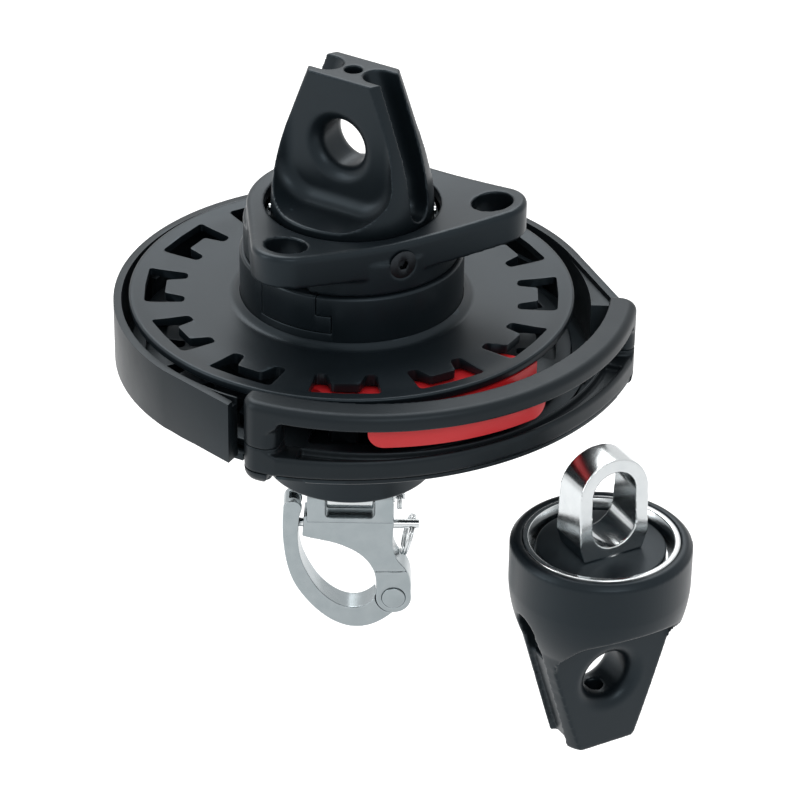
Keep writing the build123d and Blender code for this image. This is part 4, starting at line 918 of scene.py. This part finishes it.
class FURLER_OT_rings(bpy.types.Operator):
    """Winds the clevis ring and the plunger's pull ring from round wire"""
    bl_idname = "furler.rings"
    bl_label = "Wire rings"

    def execute(self, context):
        steel = FINISHES["polished_stainless"]
        wire_r = 0.58
        tilt = math.radians(15)
        down = Vector((-math.sin(tilt), 0, -math.cos(tilt)))
        across = Vector((math.cos(tilt), 0, -math.sin(tilt)))
        # the pull ring hangs from the plunger's eye, its middle a ring's radius below it
        pull_r = 8.9
        hang = Vector((27.6, 3.8, -101.5)) + down * math.sqrt(pull_r ** 2 - 3.8 ** 2)
        # node, body, middle, axis, radius, and how far each of the two coils lies from the middle
        for node, body, middle, axis, radius, apart in (
            ("plunger_ring", "plunger", hang, across, pull_r, 0.6),
            ("clevis_ring", "shackle", Vector((21.6, 0, -89.3)), Vector((1, 0, 0)), 3.6, 0.5),
        ):
            coils = []
            for shift in (-apart, apart):
                coil = lathe(node + "_coil", arc(wire_r, 0, 345, 23, radius, 0), 128)
                facing = axis.to_track_quat("Z", "Y").to_matrix().to_4x4()
                facing.translation = middle + axis * shift
                coils.append(place(coil, facing))
            wear(merged(coils, node + "_wound"), body, node, steel)
        return {"FINISHED"}


def merged(objects, name):
    """One object from several loose ones, which are used up."""
    bm = bmesh.new()
    for obj in objects:
        bm.from_mesh(obj.data)
        bpy.data.objects.remove(obj)
    mesh = bpy.data.meshes.new(name)
    bm.to_mesh(mesh)
    bm.free()
    whole = bpy.data.objects.new(name, mesh)
    bpy.context.scene.collection.objects.link(whole)
    return whole


# Stage

class FurlerStageSettings(bpy.types.PropertyGroup):
    """Camera, floor and light."""

    camera_place: bpy.props.FloatVectorProperty(name="Camera", description="Where the camera stands",
                                                default=(0.0210, -1.2721, 0.7135), subtype="TRANSLATION",
                                                unit="LENGTH")
    elevation: bpy.props.FloatProperty(name="Elevation", description="Camera's angle above the horizon",
                                       default=math.radians(30.6), subtype="ANGLE")
    roll: bpy.props.FloatProperty(name="Roll", description="Camera's turn about its own line of sight",
                                  default=math.radians(0.92), subtype="ANGLE")
    lens: bpy.props.FloatProperty(name="Lens", description="Focal length in millimetres on a 36 mm sensor",
                                  default=155.36)
    floor_z: bpy.props.FloatProperty(name="Floor", description="Height of the floor below the hanging unit",
                                     default=-0.3, unit="LENGTH")
    floor_lift: bpy.props.FloatProperty(name="Floor lift", description="White added where the floor is seen",
                                        default=0.5, min=0.0, max=1.0)
    ambient: bpy.props.FloatProperty(name="Ambient", description="Strength of the light from all round",
                                     default=0.4, min=0.0)


# Each lamp: where it hangs, what it faces, its width and height in metres, and its power
LAMPS = (
    ("bank_over", (-0.3, 1.1, 1.5), (0, 0, 0), (1.6, 1.2), 26),
    ("bank_left", (-1.4, -0.4, 0.6), (0, 0, 0), (0.5, 1.2), 7),
    ("bank_front", (0.5, -1.6, 1.3), (0, 0, -0.05), (1.0, 0.6), 8),
)
FLOOR_REACH = 6000


def emitter(name, where, target, size, power):
    """Soft white rectangular lamp at a point, facing another."""
    lamp = bpy.data.lights.new(name, "AREA")
    lamp.shape = "RECTANGLE"
    lamp.size, lamp.size_y = size
    lamp.energy = power
    obj = bpy.data.objects.new(name, lamp)
    bpy.context.scene.collection.objects.link(obj)
    obj.location = where
    obj.rotation_euler = (Vector(target) - Vector(where)).to_track_quat("-Z", "Y").to_euler()


def seen_directly(tree, amount):
    """Socket worth an amount for rays from the camera, off gloss or through glass, and 0 for the rest."""
    path = add(tree, "ShaderNodeLightPath")
    mirrored = add(tree, "ShaderNodeMath",
                   {0: path.outputs["Is Camera Ray"], 1: path.outputs["Is Glossy Ray"]}, operation="MAXIMUM")
    clear = add(tree, "ShaderNodeMath", {0: mirrored.outputs[0], 1: path.outputs["Is Transmission Ray"]},
                operation="MAXIMUM")
    scaled = add(tree, "ShaderNodeMath", {0: clear.outputs[0]}, operation="MULTIPLY")
    scaled.inputs[1].default_value = amount
    return scaled.outputs[0]


class FURLER_OT_stage(bpy.types.Operator):
    """Sets the camera, the pale floor and the soft studio light"""
    bl_idname = "furler.stage"
    bl_label = "Stage"

    def execute(self, context):
        settings = context.scene.furler_stage
        scene = context.scene
        scene.view_settings.view_transform = "Standard"
        data = bpy.data.cameras.new("camera")
        data.lens = settings.lens
        data.sensor_width = 36
        data.clip_start = 0.05
        data.clip_end = 50
        camera = bpy.data.objects.new("camera", data)
        scene.collection.objects.link(camera)
        camera.matrix_world = (Matrix.Translation(settings.camera_place)
                               @ Matrix.Rotation(math.radians(90) - settings.elevation, 4, "X")
                               @ Matrix.Rotation(settings.roll, 4, "Z"))
        scene.camera = camera

        corners = ((-1, -1), (1, -1), (1, 1), (-1, 1))
        verts = [(x * FLOOR_REACH, y * FLOOR_REACH, settings.floor_z / MM) for x, y in corners]
        floor = new_object("floor", verts, [(0, 1, 2, 3)])
        paper, tree, shader, where = new_material("paper_floor")
        speck = add(tree, "ShaderNodeTexNoise", {"Vector": where}, Scale=4.0, Detail=2.0)
        pale = add(tree, "ShaderNodeMix", {"Factor": speck.outputs["Fac"]}, data_type="RGBA")
        pale.inputs[6].default_value = linear("#e9e9e9")
        pale.inputs[7].default_value = linear("#eeeeee")
        tree.links.new(pale.outputs[2], shader.inputs["Base Color"])
        shader.inputs["Roughness"].default_value = 0.9
        # lifted towards white where it is seen or mirrored, with the object's shadow kept
        lift = add(tree, "ShaderNodeEmission", {"Strength": seen_directly(tree, settings.floor_lift)})
        both = add(tree, "ShaderNodeAddShader", {0: shader.outputs[0], 1: lift.outputs[0]})
        out = next(n for n in tree.nodes if n.type == "OUTPUT_MATERIAL")
        tree.links.new(both.outputs[0], out.inputs["Surface"])
        floor.data.materials.append(paper)

        world = bpy.data.worlds.new("studio")
        scene.world = world
        world.use_nodes = True
        tree = world.node_tree
        tree.nodes.clear()
        dim = add(tree, "ShaderNodeBackground", Color=linear("#ffffff"), Strength=settings.ambient)
        bright = add(tree, "ShaderNodeBackground", Color=linear("#ffffff"), Strength=1.0)
        both = add(tree, "ShaderNodeMixShader",
                   {"Fac": seen_directly(tree, 1.0), 1: dim.outputs[0], 2: bright.outputs[0]})
        add(tree, "ShaderNodeOutputWorld", {"Surface": both.outputs[0]})

        # a broad bank above and behind greys the level tops, a side strip draws the rims
        for lamp in LAMPS:
            emitter(*lamp)
        return {"FINISHED"}


# Panel and start

class FURLER_PT_panel(bpy.types.Panel):
    """Runs the furler's operators from the sidebar"""
    bl_idname = "FURLER_PT_panel"
    bl_label = "Furler"
    bl_space_type = "VIEW_3D"
    bl_region_type = "UI"
    bl_category = "Furler"

    def draw(self, context):
        for pointer, _ in SETTINGS:
            box = self.layout.box()
            group = getattr(context.scene, pointer)
            for name in group.__annotations__:
                box.prop(group, name)
        for operator in OPERATORS:
            self.layout.operator(operator.bl_idname)


SETTINGS = (
    ("furler_drum", FurlerDrumSettings),
    ("furler_edges", FurlerEdgeSettings),
    ("furler_hardware", FurlerHardwareSettings),
    ("furler_stage", FurlerStageSettings),
)
OPERATORS = (
    FURLER_OT_sheaves,
    FURLER_OT_turned_parts,
    FURLER_OT_fairlead,
    FURLER_OT_castings,
    FURLER_OT_machined,
    FURLER_OT_hardware,
    FURLER_OT_rings,
    FURLER_OT_stage,
)


def register():
    """Registers the settings, the operators and the panel."""
    for pointer, group in SETTINGS:
        bpy.utils.register_class(group)
        setattr(bpy.types.Scene, pointer, bpy.props.PointerProperty(type=group))
    for operator in OPERATORS:
        bpy.utils.register_class(operator)
    bpy.utils.register_class(FURLER_PT_panel)


def unregister():
    """Takes everything off again, in reverse."""
    bpy.utils.unregister_class(FURLER_PT_panel)
    for operator in reversed(OPERATORS):
        bpy.utils.unregister_class(operator)
    for pointer, group in reversed(SETTINGS):
        delattr(bpy.types.Scene, pointer)
        bpy.utils.unregister_class(group)


def main():
    """Dresses the whole furler."""
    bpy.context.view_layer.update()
    register()
    make_finishes()
    carried_over()
    bpy.ops.furler.sheaves()
    bpy.ops.furler.turned_parts()
    bpy.ops.furler.fairlead()
    bpy.ops.furler.castings()
    bpy.ops.furler.machined()
    bpy.ops.furler.hardware()
    bpy.ops.furler.rings()
    bpy.ops.furler.stage()


if __name__ == "__main__":
    main()
